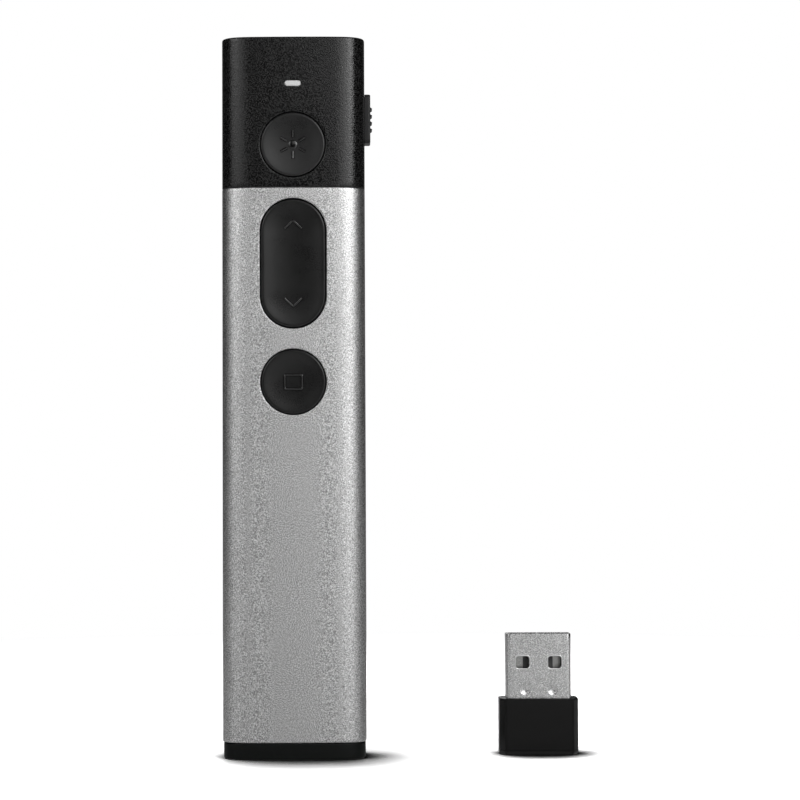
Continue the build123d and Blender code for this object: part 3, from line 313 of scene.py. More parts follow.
def roundedCorners(corners, radius, steps):
    # a polygon with each corner turned into an arc
    points, count = [], len(corners)
    for i in range(count):
        corner = Vector(corners[i])
        back = (Vector(corners[i - 1]) - corner).normalized()
        ahead = (Vector(corners[(i + 1) % count]) - corner).normalized()
        half = math.acos(max(-1, min(1, back.dot(ahead)))) / 2
        centre = corner + (back + ahead).normalized() * radius / math.sin(half)
        start = corner + back * radius / math.tan(half) - centre
        turn = math.pi - 2 * half
        side = 1 if back.x * ahead.y - back.y * ahead.x < 0 else -1
        for k in range(steps + 1):
            a = side * turn * k / steps
            points.append((centre.x + start.x * math.cos(a) - start.y * math.sin(a),
                           centre.y + start.x * math.sin(a) + start.y * math.cos(a)))
    return points


def roundedBox(width, depth, radius, steps):
    x, y = width / 2, depth / 2
    return roundedCorners([(-x, -y), (x, -y), (x, y), (-x, y)], radius, steps)


def fromQuarter(quarter):
    # a whole outline from its front right quarter, which runs from one middle line to the other
    return (quarter + [(x, -y) for x, y in reversed(quarter[:-1])]
            + [(-x, -y) for x, y in quarter[1:]] + [(-x, y) for x, y in reversed(quarter[1:-1])])


def rounding(size, steps=3):
    # how far inwards and how far along the points of a quarter round lie
    leans = [math.pi / 2 * k / steps for k in range(steps + 1)]
    return [(size * (1 - math.cos(lean)), size * (1 - math.sin(lean))) for lean in leans]


def rowsBetween(low, high, step):
    count = max(1, round((high - low) / step))
    return [low + (high - low) * k / count for k in range(count + 1)]


def weld(build, mesh):
    bmesh.ops.remove_doubles(build, verts=build.verts, dist=2e-4 * mm)
    bmesh.ops.delete(build, geom=[v for v in build.verts if not v.link_faces], context="VERTS")
    bmesh.ops.recalc_face_normals(build, faces=build.faces)
    build.to_mesh(mesh)
    build.free()
    return mesh


def meshFrom(shape, name):
    mesh = bpy.data.meshes.new(name)
    mesh.from_pydata([(x * mm, y * mm, z * mm) for x, y, z in shape["points"]], [], shape["faces"])
    build = bmesh.new()
    build.from_mesh(mesh)
    return weld(build, mesh)


def evaluatedMesh(source):
    graph = bpy.context.evaluated_depsgraph_get()
    return bpy.data.meshes.new_from_object(source.evaluated_get(graph), depsgraph=graph)


def asObject(mesh, name):
    made = bpy.data.objects.new(name, mesh)
    bpy.context.scene.collection.objects.link(made)
    return made


def discard(*objects):
    for spare in objects:
        bpy.data.objects.remove(spare)


def cutAway(mesh, cutterShape):
    block = asObject(mesh, "blank")
    cutter = asObject(meshFrom(cutterShape, "cutter"), "cutter")
    cut = block.modifiers.new("cut", "BOOLEAN")
    cut.operation = "DIFFERENCE"
    cut.solver = "EXACT"
    cut.object = cutter
    result = evaluatedMesh(block)
    discard(block, cutter)
    return result


def finishPiece(source, name, body, slot, nodes=(), finish=None, smoothAngle=32):
    # source is a shape or a mesh
    mesh = meshFrom(source, name) if isinstance(source, dict) else source
    mesh.name = name
    piece = asObject(mesh, name)
    mesh.materials.clear()
    mesh.materials.append(finishes[finish or finishOfSlot[slot]])
    mesh.polygons.foreach_set("use_smooth", [True] * len(mesh.polygons))
    mesh.set_sharp_from_angle(angle=math.radians(smoothAngle))
    weigh = piece.modifiers.new("weigh", "WEIGHTED_NORMAL")
    weigh.keep_sharp = True
    weigh.weight = 80
    piece.data = evaluatedMesh(piece)
    piece.modifiers.clear()
    piece.data.name = name
    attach(piece, body)
    if nodes:
        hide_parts(*nodes)


# the body's section: a flat tube with crowned faces
sleeveLow, sleeveHigh = boxInMm("body_sleeve")
headLow, headHigh = boxInMm("head_shell")
section = {
    "width": sleeveHigh.x - sleeveLow.x,
    "depth": sleeveHigh.y - sleeveLow.y,
    "crown": 0.4,
    "cornerStart": 6.5,        # the face turns slowly from here, then tightly into the side
    "cornerDepth": 4.0,
    "cornerPower": 3.0,
    "smallestCorner": 0.4,
    "cornerSteps": 16,
    "panelSteps": 6,           # points from the middle of the face to the panel's edge
    "panelHalfWidth": 7.8,
    "spareSpacing": 1.5,
}
frontY0 = -section["depth"] / 2


def crownArc(inset):
    width, depth = section["width"] - 2 * inset, section["depth"] - 2 * inset
    sag = section["crown"] * (width / section["width"]) ** 2
    return width, depth, ((width / 2) ** 2 + sag ** 2) / (2 * sag)


def frontFace(x, inset=0.0):
    width, depth, radius = crownArc(inset)
    crowned = -depth / 2 + radius - math.sqrt(radius ** 2 - x ** 2)
    share = (abs(x) - section["cornerStart"]) / (width / 2 - section["cornerStart"])
    if share <= 0:
        return crowned
    power = section["cornerPower"]
    cornerDepth = max(section["cornerDepth"] - inset, section["smallestCorner"])
    return crowned + cornerDepth * (1 - (1 - min(1.0, share) ** power) ** (1 / power))


def bodyOutline(inset):
    width = crownArc(inset)[0]
    steps = section["panelSteps"]
    xs = [section["panelHalfWidth"] * k / steps for k in range(steps + 1)]
    power, cornerWidth = section["cornerPower"], width / 2 - section["cornerStart"]
    first = math.asin(((section["panelHalfWidth"] - section["cornerStart"]) / cornerWidth) ** (power / 2))
    for k in range(1, section["cornerSteps"] + 1):
        lean = first + (math.pi / 2 - first) * k / section["cornerSteps"]
        xs.append(section["cornerStart"] + cornerWidth * math.sin(lean) ** (2 / power))
    return fromQuarter([(x, frontFace(x, inset)) for x in xs] + [(width / 2, 0.0)])


def ringAt(shape, z, inset):
    return levelLoop(shape, bodyOutline(inset), z)


def tubeWall(shape, rows, inset, span, holes):
    # a wall of the body at one inset, with holes in its front panel
    return panelWall(shape, lambda z: ringAt(shape, z, inset), rows, span, section["panelSteps"],
                     section["spareSpacing"], [(False, holes, lambda x, z: (x, frontFace(x, inset), z))])


plainHole = dict(halfRun=0, rim=0.16, support=0.25, throat=0.15, count=96, lying=False)


def cutRim(shape, hole, backInset):
    # rings from the skin over a rounded rim into a hole, and on to the wall's inner face
    def ring(radius, depth, inset=0.0):
        outline = pill(hole["halfRun"], radius, hole["count"], (0, hole["z"]), hole["lying"])
        return addLoop(shape, [(x, frontFace(x, inset) + depth, z) for x, z in outline])
    radius, rim = hole["radius"], hole["rim"]
    loops = [ring(radius + rim + hole["support"], 0)]
    loops += [ring(radius + along, inward) for inward, along in rounding(rim)]
    loops += [ring(radius, rim + hole["throat"]), ring(radius, 0, backInset)]
    bridgeAll(shape, loops)
    return loops[0], loops[-1]


# body sleeve: extruded tube with a pill hole and a round hole
laserZ, blankZ, rockerZ = (middleOf(name, 2) for name in ("laser_button", "blank_button", "page_rocker"))
sleeve = {
    "wall": 1.0,
    "edge": 0.2,               # rounding of the end edges
    "edgeSupport": 0.4,
    "roundHole": 6.1,
    "pillHole": 6.15,
    "pillHoleRun": 5.9,
    "panel": (60.6, 104.2),    # the heights between which the front is filled round its holes
    "plainRows": [22.0, 41.0],
    "rowStep": 2.0,
}
shape = newShape()
bottomZ, seamZ, edge = sleeveLow.z, sleeveHigh.z, sleeve["edge"]
skinHoles, boreHoles = zip(*[cutRim(shape, dict(plainHole, **hole), sleeve["wall"]) for hole in (
    dict(z=rockerZ, halfRun=sleeve["pillHoleRun"], radius=sleeve["pillHole"]),
    dict(z=blankZ, radius=sleeve["roundHole"]))])
panelRows = rowsBetween(*sleeve["panel"], sleeve["rowStep"])
innerRows = sleeve["plainRows"] + panelRows
skin = tubeWall(shape, [bottomZ + edge, bottomZ + edge + sleeve["edgeSupport"]] + innerRows
                + [seamZ - edge], 0.0, sleeve["panel"], skinHoles)
bore = tubeWall(shape, [bottomZ] + innerRows + [seamZ], sleeve["wall"], sleeve["panel"], boreHoles)
lowEdge = [ringAt(shape, bottomZ + along, inward) for inward, along in rounding(edge)]
highEdge = [ringAt(shape, seamZ - along, inward) for inward, along in rounding(edge)]
bridgeAll(shape, [skin[0]] + lowEdge + [bore[0]])
bridgeAll(shape, [skin[-1]] + highEdge + [bore[-1]])
finishPiece(shape, "bodySleeve", "housing", "sleeve_metal", ["body_sleeve"])
print("sleeve made")


# head shell: closed at the top, with a spigot into the sleeve
head = {
    "wall": 1.2,
    "roof": 1.4,
    "topEdge": 0.38,
    "topSupport": 0.4,
    "seamEdge": 0.15,
    "spigotInset": 1.05,
    "spigotWall": 1.0,
    "spigotChamfer": 0.2,
    "roundHole": 6.1,
    "lightRun": 0.975,
    "lightRadius": 0.575,
    "panel": (105.85, 126.6),
    "innerStart": 0.3,         # from the spigot's ledge up to the first inner row
    "rowStep": 2.0,
    "windowSeat": 2.45,
    "windowSeatDepth": 0.7,
    "windowSeatReach": 0.35,
    "windowSeatEdge": 0.15,
    "windowAperture": 1.7,
    "windowCount": 64,
    "notchGap": 1.2,           # the spigot's notch stands off the sleeve's pill hole by this
    "notchDepth": (-6.2, -1.0),
    "slotHalf": (1.1, 2.6),    # the slot for the power slide's stem: half width and half height
    "slotReach": (2.4, 1),     # and how far it goes in and out from the side
}
lightZ, windowY = middleOf("light_pipe", 2), middleOf("laser_window", 1)
shape = newShape()
crestZ = headHigh.z
ceilingZ = crestZ - head["roof"]
skinHoles, boreHoles = zip(*[cutRim(shape, dict(plainHole, **hole), head["wall"]) for hole in (
    dict(z=laserZ, radius=head["roundHole"]),
    dict(z=lightZ, halfRun=head["lightRun"], radius=head["lightRadius"], rim=0.1, support=0.1, count=40,
         lying=True))])
skin = tubeWall(shape, [seamZ + head["seamEdge"]] + rowsBetween(*head["panel"], head["rowStep"])
                + [crestZ - head["topEdge"] - head["topSupport"], crestZ - head["topEdge"]],
                0.0, head["panel"], skinHoles)
ledgeZ = seamZ + head["spigotWall"]
innerSpan = (ledgeZ + head["innerStart"], head["panel"][1])
bore = tubeWall(shape, [ledgeZ] + rowsBetween(*innerSpan, head["rowStep"]) + [ceilingZ],
                head["wall"], innerSpan, boreHoles)
seamEdge = [ringAt(shape, seamZ + along, inward) for inward, along in rounding(head["seamEdge"])]
spigotOut, chamfer = head["spigotInset"], head["spigotChamfer"]
spigotIn = spigotOut + head["spigotWall"]
spigot = [ringAt(shape, z, inset) for z, inset in (
    (seamZ, spigotOut), (headLow.z + chamfer, spigotOut), (headLow.z, spigotOut + chamfer),
    (headLow.z, spigotIn), (ledgeZ, spigotIn))]
bridgeAll(shape, [skin[0]] + seamEdge + spigot + [bore[0]])
crestEdge = [ringAt(shape, crestZ - along, inward) for inward, along in rounding(head["topEdge"], 5)]
bridgeAll(shape, [skin[-1]] + crestEdge)


def windowRing(radius, z):
    return levelLoop(shape, pill(0, radius, head["windowCount"], (0, windowY)), z)


seat, seatZ = head["windowSeat"], crestZ - head["windowSeatDepth"]
windowLoops = [windowRing(seat + head["windowSeatReach"], crestZ)]
windowLoops += [windowRing(seat + along, crestZ - inward)
                for inward, along in rounding(head["windowSeatEdge"])]
windowLoops += [windowRing(seat, seatZ), windowRing(head["windowAperture"], seatZ),
                windowRing(head["windowAperture"], ceilingZ)]
bridgeAll(shape, windowLoops)
for outer, hole, z, spacing in ((crestEdge[-1], windowLoops[0], crestZ, 1.2),
                                (bore[-1], windowLoops[-1], ceilingZ, 1.5)):
    fillPanel(shape, outer, [hole], lift=lambda x, y: (x, y, z), spacing=spacing)

# the spigot's notch round the rocker, and the slot for the power slide's stem
cutter = newShape()
notch = pill(sleeve["pillHoleRun"], sleeve["pillHole"] + head["notchGap"], 64, (0, rockerZ))
front, rear = [frontLoop(cutter, notch, y) for y in head["notchDepth"]]
bridge(cutter, front, rear)
closeEnds(cutter, [rear, front])
slotZ, sideX = middleOf("slide_switch", 2), section["width"] / 2
(halfDepth, halfHeight), (inwards, outwards) = head["slotHalf"], head["slotReach"]
addBox(cutter, (sideX - inwards, -halfDepth, slotZ - halfHeight),
       (sideX + outwards, halfDepth, slotZ + halfHeight))
finishPiece(cutAway(meshFrom(shape, "headShell"), cutter), "headShell", "housing", "head_plastic",
            ["head_shell"])
print("head made")


# end cap: rounded slab, skirt inside the sleeve with an opening for the receiver, pillar under the spring
cap = {
    "inset": 0.18,
    "gap": 0.1,                # between the slab and the sleeve
    "bottomEdge": 0.45,
    "topEdge": 0.12,
    "topSupport": 0.3,
    "floor": 1.3,
    "skirtInset": 1.1,
    "skirtWall": 0.9,
    "skirtChamfer": 0.2,
    "bayFrom": -2.75,
    "bayTo": 15,
    "bayHalfDepth": 3.5,
    "pillarHalf": 3.65,
}
capCrest, capTop = boxInMm("end_cap")[1].z, sleeveLow.z - cap["gap"]
skirtOut, chamfer = cap["skirtInset"], cap["skirtChamfer"]
profile = [(inward, cap["inset"] + along) for inward, along in rounding(cap["bottomEdge"], 5)]
profile += [(capTop - cap["topEdge"] - cap["topSupport"], cap["inset"])]
profile += [(capTop - along, cap["inset"] + inward) for inward, along in rounding(cap["topEdge"])]
profile += [(capTop, skirtOut), (capCrest - chamfer, skirtOut), (capCrest, skirtOut + chamfer),
            (capCrest, skirtOut + cap["skirtWall"]), (cap["floor"], skirtOut + cap["skirtWall"])]
shape = newShape()
capLoops = [ringAt(shape, z, inset) for z, inset in profile]
bridgeAll(shape, capLoops)
fillPanel(shape, capLoops[0])
fillPanel(shape, capLoops[-1])
cutter = newShape()
addBox(cutter, (cap["bayFrom"], -cap["bayHalfDepth"], capTop),
       (cap["bayTo"], cap["bayHalfDepth"], capCrest + 1))
finishPiece(cutAway(meshFrom(shape, "endCap"), cutter), "endCap", "end_cap", "cap_plastic", ["end_cap"])
pillar = newShape()
batteryX, half = middleOf("battery_cell", 0), cap["pillarHalf"]
addBox(pillar, (batteryX - half, -half, cap["floor"]), (batteryX + half, half, boxInMm("contact_plate")[0].z))
finishPiece(pillar, "springPillar", "end_cap", "cap_plastic")
print("end cap made")


# keys: a dished face swept round a pill, with a rounded rim, a flange and posts behind it
keys = {
    "faceY": boxInMm("laser_button")[0].y,      # the rim's foremost line
    "radius": 5.95,
    "rimWidth": 0.6,
    "rimEdge": 0.3,
    "rimSoftness": [(0.0, 0.012), (0.1, 0.001)],    # out from the dish's edge, and back from the face
    "flangeOverhang": 0.6,
    "flangeGap": 0.1,
    "flangeDepth": 0.6,
    "flangeEdge": 0.05,
    "roundDish": 0.4,
    "rockerDish": 0.45,
    "rockerRun": 5.9,
    "rockerFlangeDepth": 0.5,
    "rockerTilt": 2,           # degrees
    "postHalf": 1.3,
    "postReach": 2.5,
    "guideX": 4.6,
    "guideHalf": (0.4, 0.8),
    "guideEnd": -1.5,
    "bite": 0.1,               # how far posts and guides start inside the flange
    "dishSteps": 14,
    "ringCount": 96,
}


def dishBall(halfWidth, depth):
    return (halfWidth ** 2 + depth ** 2) / (2 * depth)


def dishSurface(distance, key):
    ball = dishBall(keys["radius"] - keys["rimWidth"], key["dish"])
    return keys["faceY"] + key["dish"] - ball + math.sqrt(ball ** 2 - distance ** 2)


def keyProfile(key):
    # distance from the key's middle line and place in depth, from the dish over the rim to the back
    radius, faceY, edge = keys["radius"], keys["faceY"], keys["flangeEdge"]
    inner, flange = radius - keys["rimWidth"], radius + keys["flangeOverhang"]
    steps, flangeFront = keys["dishSteps"], key["flangeFront"]
    points = [(inner * k / steps, dishSurface(inner * k / steps, key)) for k in range(steps)]
    points += [(inner + out, faceY + back) for out, back in keys["rimSoftness"]]
    points += [(radius - along, faceY + inward) for inward, along in rounding(keys["rimEdge"], 5)]
    return points + [(radius, flangeFront), (flange - edge, flangeFront), (flange, flangeFront + edge),
                     (flange, key["flangeBack"]), (0, key["flangeBack"])]


def makeKey(name, node, key, posts=(), finish="keyPlastic"):
    shape = newShape()
    bridgeAll(shape, [frontLoop(shape, pill(key["halfRun"], d, keys["ringCount"], (0, key["z"])), y)
                      for d, y in keyProfile(key)])
    for x, halfWidth, halfHeight, start, end in posts:
        addPost(shape, x, key["z"], halfWidth, halfHeight, start, end)
    finishPiece(shape, name, node, "key_plastic", [node], finish)
    return key


def drop(x):
    return section["crown"] * (2 * x / section["width"]) ** 2


flangeRadius = keys["radius"] + keys["flangeOverhang"]


def roundKey(name, node, z, wall, finish):
    back = frontY0 + wall + drop(flangeRadius) + keys["flangeGap"] + keys["flangeDepth"]
    start, half = back - keys["bite"], keys["postHalf"]
    posts = [(0, half, half, start, frontY0 + keys["postReach"])]
    posts += [(side * keys["guideX"], *keys["guideHalf"], start, keys["guideEnd"]) for side in (-1, 1)]
    return makeKey(name, node, {"z": z, "halfRun": 0, "dish": keys["roundDish"], "flangeBack": back,
                                "flangeFront": back - keys["flangeDepth"]}, posts, finish)


# the laser key wears the lighter copy of the key plastic, which is painted light
laserKey = roundKey("laserKey", "laser_button", laserZ, head["wall"], "laserKeyPaintedLight")
blankKey = roundKey("blankKey", "blank_button", blankZ, sleeve["wall"], "keyPlastic")
rockerFront = (frontY0 + sleeve["wall"] + drop(flangeRadius) + (keys["rockerRun"] + flangeRadius)
               * math.sin(math.radians(keys["rockerTilt"])) + keys["flangeGap"])
rocker = makeKey("pageRocker", "page_rocker", {
    "z": rockerZ, "halfRun": keys["rockerRun"], "dish": keys["rockerDish"], "flangeFront": rockerFront,
    "flangeBack": rockerFront + keys["rockerFlangeDepth"]})
print("keys made")


# node trees: a ridge along a path with turned copies, copies in a row, a coil
def newTree(name, sockets):
    tree = bpy.data.node_groups.new(name, "GeometryNodeTree")
    sockets = {"Geometry": "Geometry", **sockets, "Material": "Material"}
    for label, kind in sockets.items():
        tree.interface.new_socket(name=label, in_out="INPUT", socket_type="NodeSocket" + kind)
    tree.interface.new_socket(name="Geometry", in_out="OUTPUT", socket_type="NodeSocketGeometry")
    return tree, tree.nodes.new("NodeGroupInput").outputs


def closeTree(tree, shown, material):
    real = addNode(tree, "GeometryNodeRealizeInstances", {"Geometry": shown})
    done = addNode(tree, "GeometryNodeSetMaterial", {"Geometry": real.outputs[0], "Material": material})
    addNode(tree, "NodeGroupOutput", {0: done.outputs[0]})
    return tree


def addTube(tree, path, radius):
    ring = addNode(tree, "GeometryNodeCurvePrimitiveCircle", {"Resolution": 12, "Radius": radius})
    return addNode(tree, "GeometryNodeCurveToMesh", {
        "Curve": path, "Profile Curve": ring.outputs[0], "Fill Caps": True}).outputs[0]


def ridgeTree():
    tree, given = newTree("ridgeAlongPath", {"Ridge Width": "Float", "Copies": "Int", "Turn": "Float"})
    path = addNode(tree, "GeometryNodeMeshToCurve", {"Mesh": given["Geometry"]})
    tube = addTube(tree, path.outputs[0], reckon(tree, "MULTIPLY", given["Ridge Width"], 0.5))
    spots = addNode(tree, "GeometryNodeMeshLine", {"Count": given["Copies"], "Offset": (0, 0, 0)})
    index = addNode(tree, "GeometryNodeInputIndex").outputs[0]
    spin = addNode(tree, "ShaderNodeCombineXYZ", {"Y": reckon(tree, "MULTIPLY", index, given["Turn"])})
    copies = addNode(tree, "GeometryNodeInstanceOnPoints", {
        "Points": spots.outputs[0], "Instance": tube, "Rotation": spin.outputs[0]})
    return closeTree(tree, copies.outputs[0], given["Material"])


def rowTree():
    tree, given = newTree("copiesInARow", {"Copies": "Int", "Pitch": "Vector", "First Place": "Vector"})
    spots = addNode(tree, "GeometryNodeMeshLine", {
        "Count": given["Copies"], "Start Location": given["First Place"], "Offset": given["Pitch"]})
    copies = addNode(tree, "GeometryNodeInstanceOnPoints", {
        "Points": spots.outputs[0], "Instance": given["Geometry"]})
    return closeTree(tree, copies.outputs[0], given["Material"])


def coilTree():
    tree, given = newTree("taperedCoil", {
        "Turns": "Float", "Bottom Radius": "Float", "Top Radius": "Float", "Height": "Float",
        "Wire Radius": "Float"})
    line = addNode(tree, "GeometryNodeCurveSpiral", {
        "Resolution": 28, "Rotations": given["Turns"], "Start Radius": given["Bottom Radius"],
        "End Radius": given["Top Radius"], "Height": given["Height"]})
    return closeTree(tree, addTube(tree, line.outputs[0], given["Wire Radius"]), given["Material"])


def grow(tree, sourceMesh, finish, values):
    # runs a tree on a mesh and gives back a plain mesh
    values = {**values, "Material": finishes[finish]}
    carrier = asObject(sourceMesh, "carrier")
    modifier = carrier.modifiers.new("grow", "NODES")
    modifier.node_group = tree
    for item in tree.interface.items_tree:
        if item.in_out == "INPUT" and item.name in values:
            modifier[item.identifier] = values[item.name]
    made = evaluatedMesh(carrier)
    discard(carrier)
    return made


def pathMesh(points, closed=False):
    mesh = bpy.data.meshes.new("path")
    count = len(points)
    edges = [(i, (i + 1) % count) for i in range(count if closed else count - 1)]
    mesh.from_pydata([(x * mm, y * mm, z * mm) for x, y, z in points], edges, [])
    return mesh


ridges, rows, coils = ridgeTree(), rowTree(), coilTree()
ridgeSmoothAngle = 50


def ridgePiece(name, body, slot, finish, width, paths, closed=False, copies=1, lift=0.0):
    # round ridges along paths, each with copies turned round the y axis, all raised by lift
    build = bmesh.new()
    for points in paths:
        build.from_mesh(grow(ridges, pathMesh(points, closed), finish, {
            "Ridge Width": width * mm, "Copies": copies, "Turn": 2 * math.pi / copies}))
    bmesh.ops.translate(build, verts=build.verts, vec=(0, 0, lift * mm))
    finishPiece(weld(build, bpy.data.meshes.new(name)), name, body, slot, finish=finish,
                smoothAngle=ridgeSmoothAngle)


# raised signs on the keys
signs = {
    "stroke": 0.56,
    "height": 0.34,
    "rayFrom": 1.3,
    "rayTo": 2.6,
    "rays": 6,
    "dotRadius": 0.86,
    "dotHeight": 0.16,
    "dotSunk": 0.2,
    "dotSteps": 6,
    "dotCount": 48,
    "chevronHalfWidth": 1.6,
    "chevronHeight": 1.5,
    "chevronReach": 7.95,
    "frameWidth": 3.25,
    "frameHeight": 2.6,
    "frameCorner": 0.3,
}


def keySign(name, node, key, outlines, closed=False, copies=1):
    # z of the outlines is measured from the key's middle
    sunk = signs["height"] - signs["stroke"] / 2
    paths = [[(x, dishSurface(math.hypot(x, max(0.0, abs(z) - key["halfRun"])), key) - sunk, z)
              for x, z in outline] for outline in outlines]
    ridgePiece(name, node, "key_plastic", "signPlastic", signs["stroke"], paths, closed, copies, key["z"])


def line(a, b, steps):
    return [(a[0] + (b[0] - a[0]) * k / steps, a[1] + (b[1] - a[1]) * k / steps) for k in range(steps + 1)]


keySign("beamRays", "laser_button", laserKey, [line((0, signs["rayFrom"]), (0, signs["rayTo"]), 4)],
        copies=signs["rays"])
dotProfile = []
for k in range(signs["dotSteps"] + 1):
    lean = math.pi / 2 * k / signs["dotSteps"]
    d = signs["dotRadius"] * math.sin(lean)
    dotProfile.append((d, dishSurface(d, laserKey) - signs["dotHeight"] * math.cos(lean)))
sunkY = dishSurface(0, laserKey) + signs["dotSunk"]
dotProfile += [(signs["dotRadius"], sunkY), (0, sunkY)]
shape = newShape()
bridgeAll(shape, [frontLoop(shape, pill(0, d, signs["dotCount"], (0, laserZ)), y) for d, y in dotProfile])
finishPiece(shape, "beamDot", "laser_button", "key_plastic", finish="signPlastic",
            smoothAngle=ridgeSmoothAngle)

arms = []
for side in (1, -1):
    apex, foot = (0, side * signs["chevronReach"]), side * (signs["chevronReach"] - signs["chevronHeight"])
    arms.append(line((-signs["chevronHalfWidth"], foot), apex, 6)
                + line(apex, (signs["chevronHalfWidth"], foot), 6)[1:])
keySign("pageArrows", "page_rocker", rocker, arms)
keySign("screenFrame", "blank_button", blankKey, [
    roundedBox(signs["frameWidth"], signs["frameHeight"], signs["frameCorner"], 5)], closed=True)
print("key signs made")


# power knob: rounded slab with pointed ridges, and a stem with a foot inside the wall
knobLow, knobHigh = boxInMm("power_knob")
knob = {
    "width": 4.6,
    "gap": 0.03,               # between the slab and the head's side
    "edge": 0.3,
    "innerEdge": 0.04,
    "corner": 0.7,
    "smallestCorner": 0.2,
    "endTrim": 0.12,
    "stem": (-1.45, 0.1, 1.0, 1.5),         # from and to, off the slab's inside; half width, half height
    "foot": (-1.9, -1.3, 1.8, 2.3),
    "ridges": 4,
    "pitch": 1.3,
    "ridgeLength": 3.5,
    "ridgeBase": 0.46,
    "ridgeTip": 0.1,
    "ridgeFlat": 0.4,          # the share of the tip that is flat
    "ridgeHeight": 0.33,
    "ridgeSunk": 0.1,
    "ridgeShoulder": 0.06,
    "ridgeEnd": 0.12,          # the last part of each end, which tapers to ridgeEndShare
    "ridgeEndShare": 0.55,
}
knobLength = knobHigh.z - knobLow.z - 2 * knob["endTrim"]
knobZ = middleOf("power_knob", 2)
slabIn, slabOut = section["width"] / 2 + knob["gap"], knobHigh.x - knob["ridgeHeight"]
shape = newShape()
slabLoops = []
for x, inset in ([(slabIn, knob["innerEdge"]), (slabIn + knob["innerEdge"], 0.0)]
                 + [(slabOut - along, inward) for inward, along in rounding(knob["edge"], 5)]):
    outline = roundedBox(knob["width"] - 2 * inset, knobLength - 2 * inset,
                         max(knob["smallestCorner"], knob["corner"] - inset), 6)
    slabLoops.append(addLoop(shape, [(x, y, knobZ + z) for y, z in outline]))
bridgeAll(shape, slabLoops)
closeEnds(shape, slabLoops)
for start, end, halfDepth, halfHeight in (knob["stem"], knob["foot"]):
    addBox(shape, (slabIn + start, -halfDepth, knobZ - halfHeight),
           (slabIn + end, halfDepth, knobZ + halfHeight))
finishPiece(shape, "powerKnob", "power_knob", "knob_plastic", ["power_knob"])

ridge = newShape()
base, tip, high = knob["ridgeBase"] / 2, knob["ridgeTip"] / 2, knob["ridgeHeight"]
halfProfile = [(-knob["ridgeSunk"], base), (0.0, base), (high - knob["ridgeShoulder"], tip),
               (high, tip * knob["ridgeFlat"])]
ridgeProfile = [(x, -z) for x, z in halfProfile] + halfProfile[::-1]
end, taper, endShare = knob["ridgeLength"] / 2, knob["ridgeEnd"], knob["ridgeEndShare"]
ridgeLoops = [addLoop(ridge, [(x * share if x > 0 else x, y, z * share) for x, z in ridgeProfile])
              for y, share in ((-end, endShare), (-end + taper, 1.0), (end - taper, 1.0), (end, endShare))]
bridgeAll(ridge, ridgeLoops)
closeEnds(ridge, ridgeLoops)
finishPiece(grow(rows, meshFrom(ridge, "ridge"), "knobPlastic", {
    "Copies": knob["ridges"], "Pitch": (0, 0, knob["pitch"] * mm),
    "First Place": (slabOut * mm, 0, (knobZ - knob["pitch"] * (knob["ridges"] - 1) / 2) * mm)}),
    "knobRidges", "power_knob", "knob_plastic", smoothAngle=40)
print("power knob made")


# light pipe with a flange and stem behind the wall, and the laser's window
lightLow, lightHigh = boxInMm("light_pipe")
windowLow, windowHigh = boxInMm("laser_window")
lightPipe = {
    "count": 40,
    "profile": [(0.0, 0.0), (0.0, 0.2), (0.005, 0.35), (0.03, 0.45), (0.08, 0.505), (0.15, 0.525),
                (1.3, 0.525)],              # depth behind the face, radius
    "flange": (2.05, 1.075, -5.22, -4.75),  # half width, half height, from and to in depth
    "stem": (0.8, 0.4, -4.8, lightHigh.y),
}
laserWindow = {
    "fromBottom": [(0, 0), (0, 2.3), (0.1, 2.4)],       # height over the bottom, radius
    "fromTop": [(0.15, 2.4), (0.05, 2.35), (0, 2.2), (0, 0)],
}
shape = newShape()
pipeLoops = [frontLoop(shape, pill(head["lightRun"], radius, lightPipe["count"], (0, lightZ), True),
                       lightLow.y + depth) for depth, radius in lightPipe["profile"]]
bridgeAll(shape, pipeLoops)
shape["faces"].append(tuple(pipeLoops[-1]))
for post in (lightPipe["flange"], lightPipe["stem"]):
    addPost(shape, 0, lightZ, *post)
finishPiece(shape, "lightPipe", "housing", "light_pipe_plastic", ["light_pipe"])

shape = newShape()
discRows = [(windowLow.z + up, radius) for up, radius in laserWindow["fromBottom"]]
discRows += [(windowHigh.z - down, radius) for down, radius in laserWindow["fromTop"]]
bridgeAll(shape, [windowRing(radius, z) for z, radius in discRows])
finishPiece(shape, "laserWindow", "housing", "clear_optic", ["laser_window"])


# receiver: folded steel plug shell with windows and dimples, and its bevelled grip
shellLow, shellHigh = boxInMm("usb_shell")
gripLow, gripHigh = boxInMm("receiver_cap")
plugX, plugY = middleOf("usb_shell", 0), middleOf("usb_shell", 1)
plug = {
    "width": shellHigh.x - shellLow.x,
    "depth": shellHigh.y - shellLow.y,
    "wall": 0.3,
    "corner": 0.6,
    "smallestCorner": 0.3,
    "cornerSteps": 6,
    "tipEdge": 0.06,
    "panelHalfWidth": 5.2,
    "panelSteps": 4,
    "panel": (gripHigh.z + 0.15, shellHigh.z - 1.0),
    "rowStep": 1.5,
    "spareSpacing": 0.7,
    "windowX": 3.0,
    "windowZ": 17.05,
    "windowWidth": 2.45,
    "windowHeight": 2.2,
    "windowCorner": 0.45,
    "windowRim": 0.14,
    "windowSupport": 0.12,
    "burrWidth": 0.3,          # the bright burnished edge round each window
    "burrHeight": 0.12,
    "dimpleX": 2.57,
    "dimpleZ": 11.95,
    "dimpleRadius": 0.92,
    "dimpleDepth": 0.2,
    "dimpleEdge": 0.012,
    "dimpleSteps": 8,
    "dimpleSupport": (0.1, 0.2),
    "seamHalfGap": 0.05,       # the fold's seam down the rear
    "seamReach": 0.45,
}


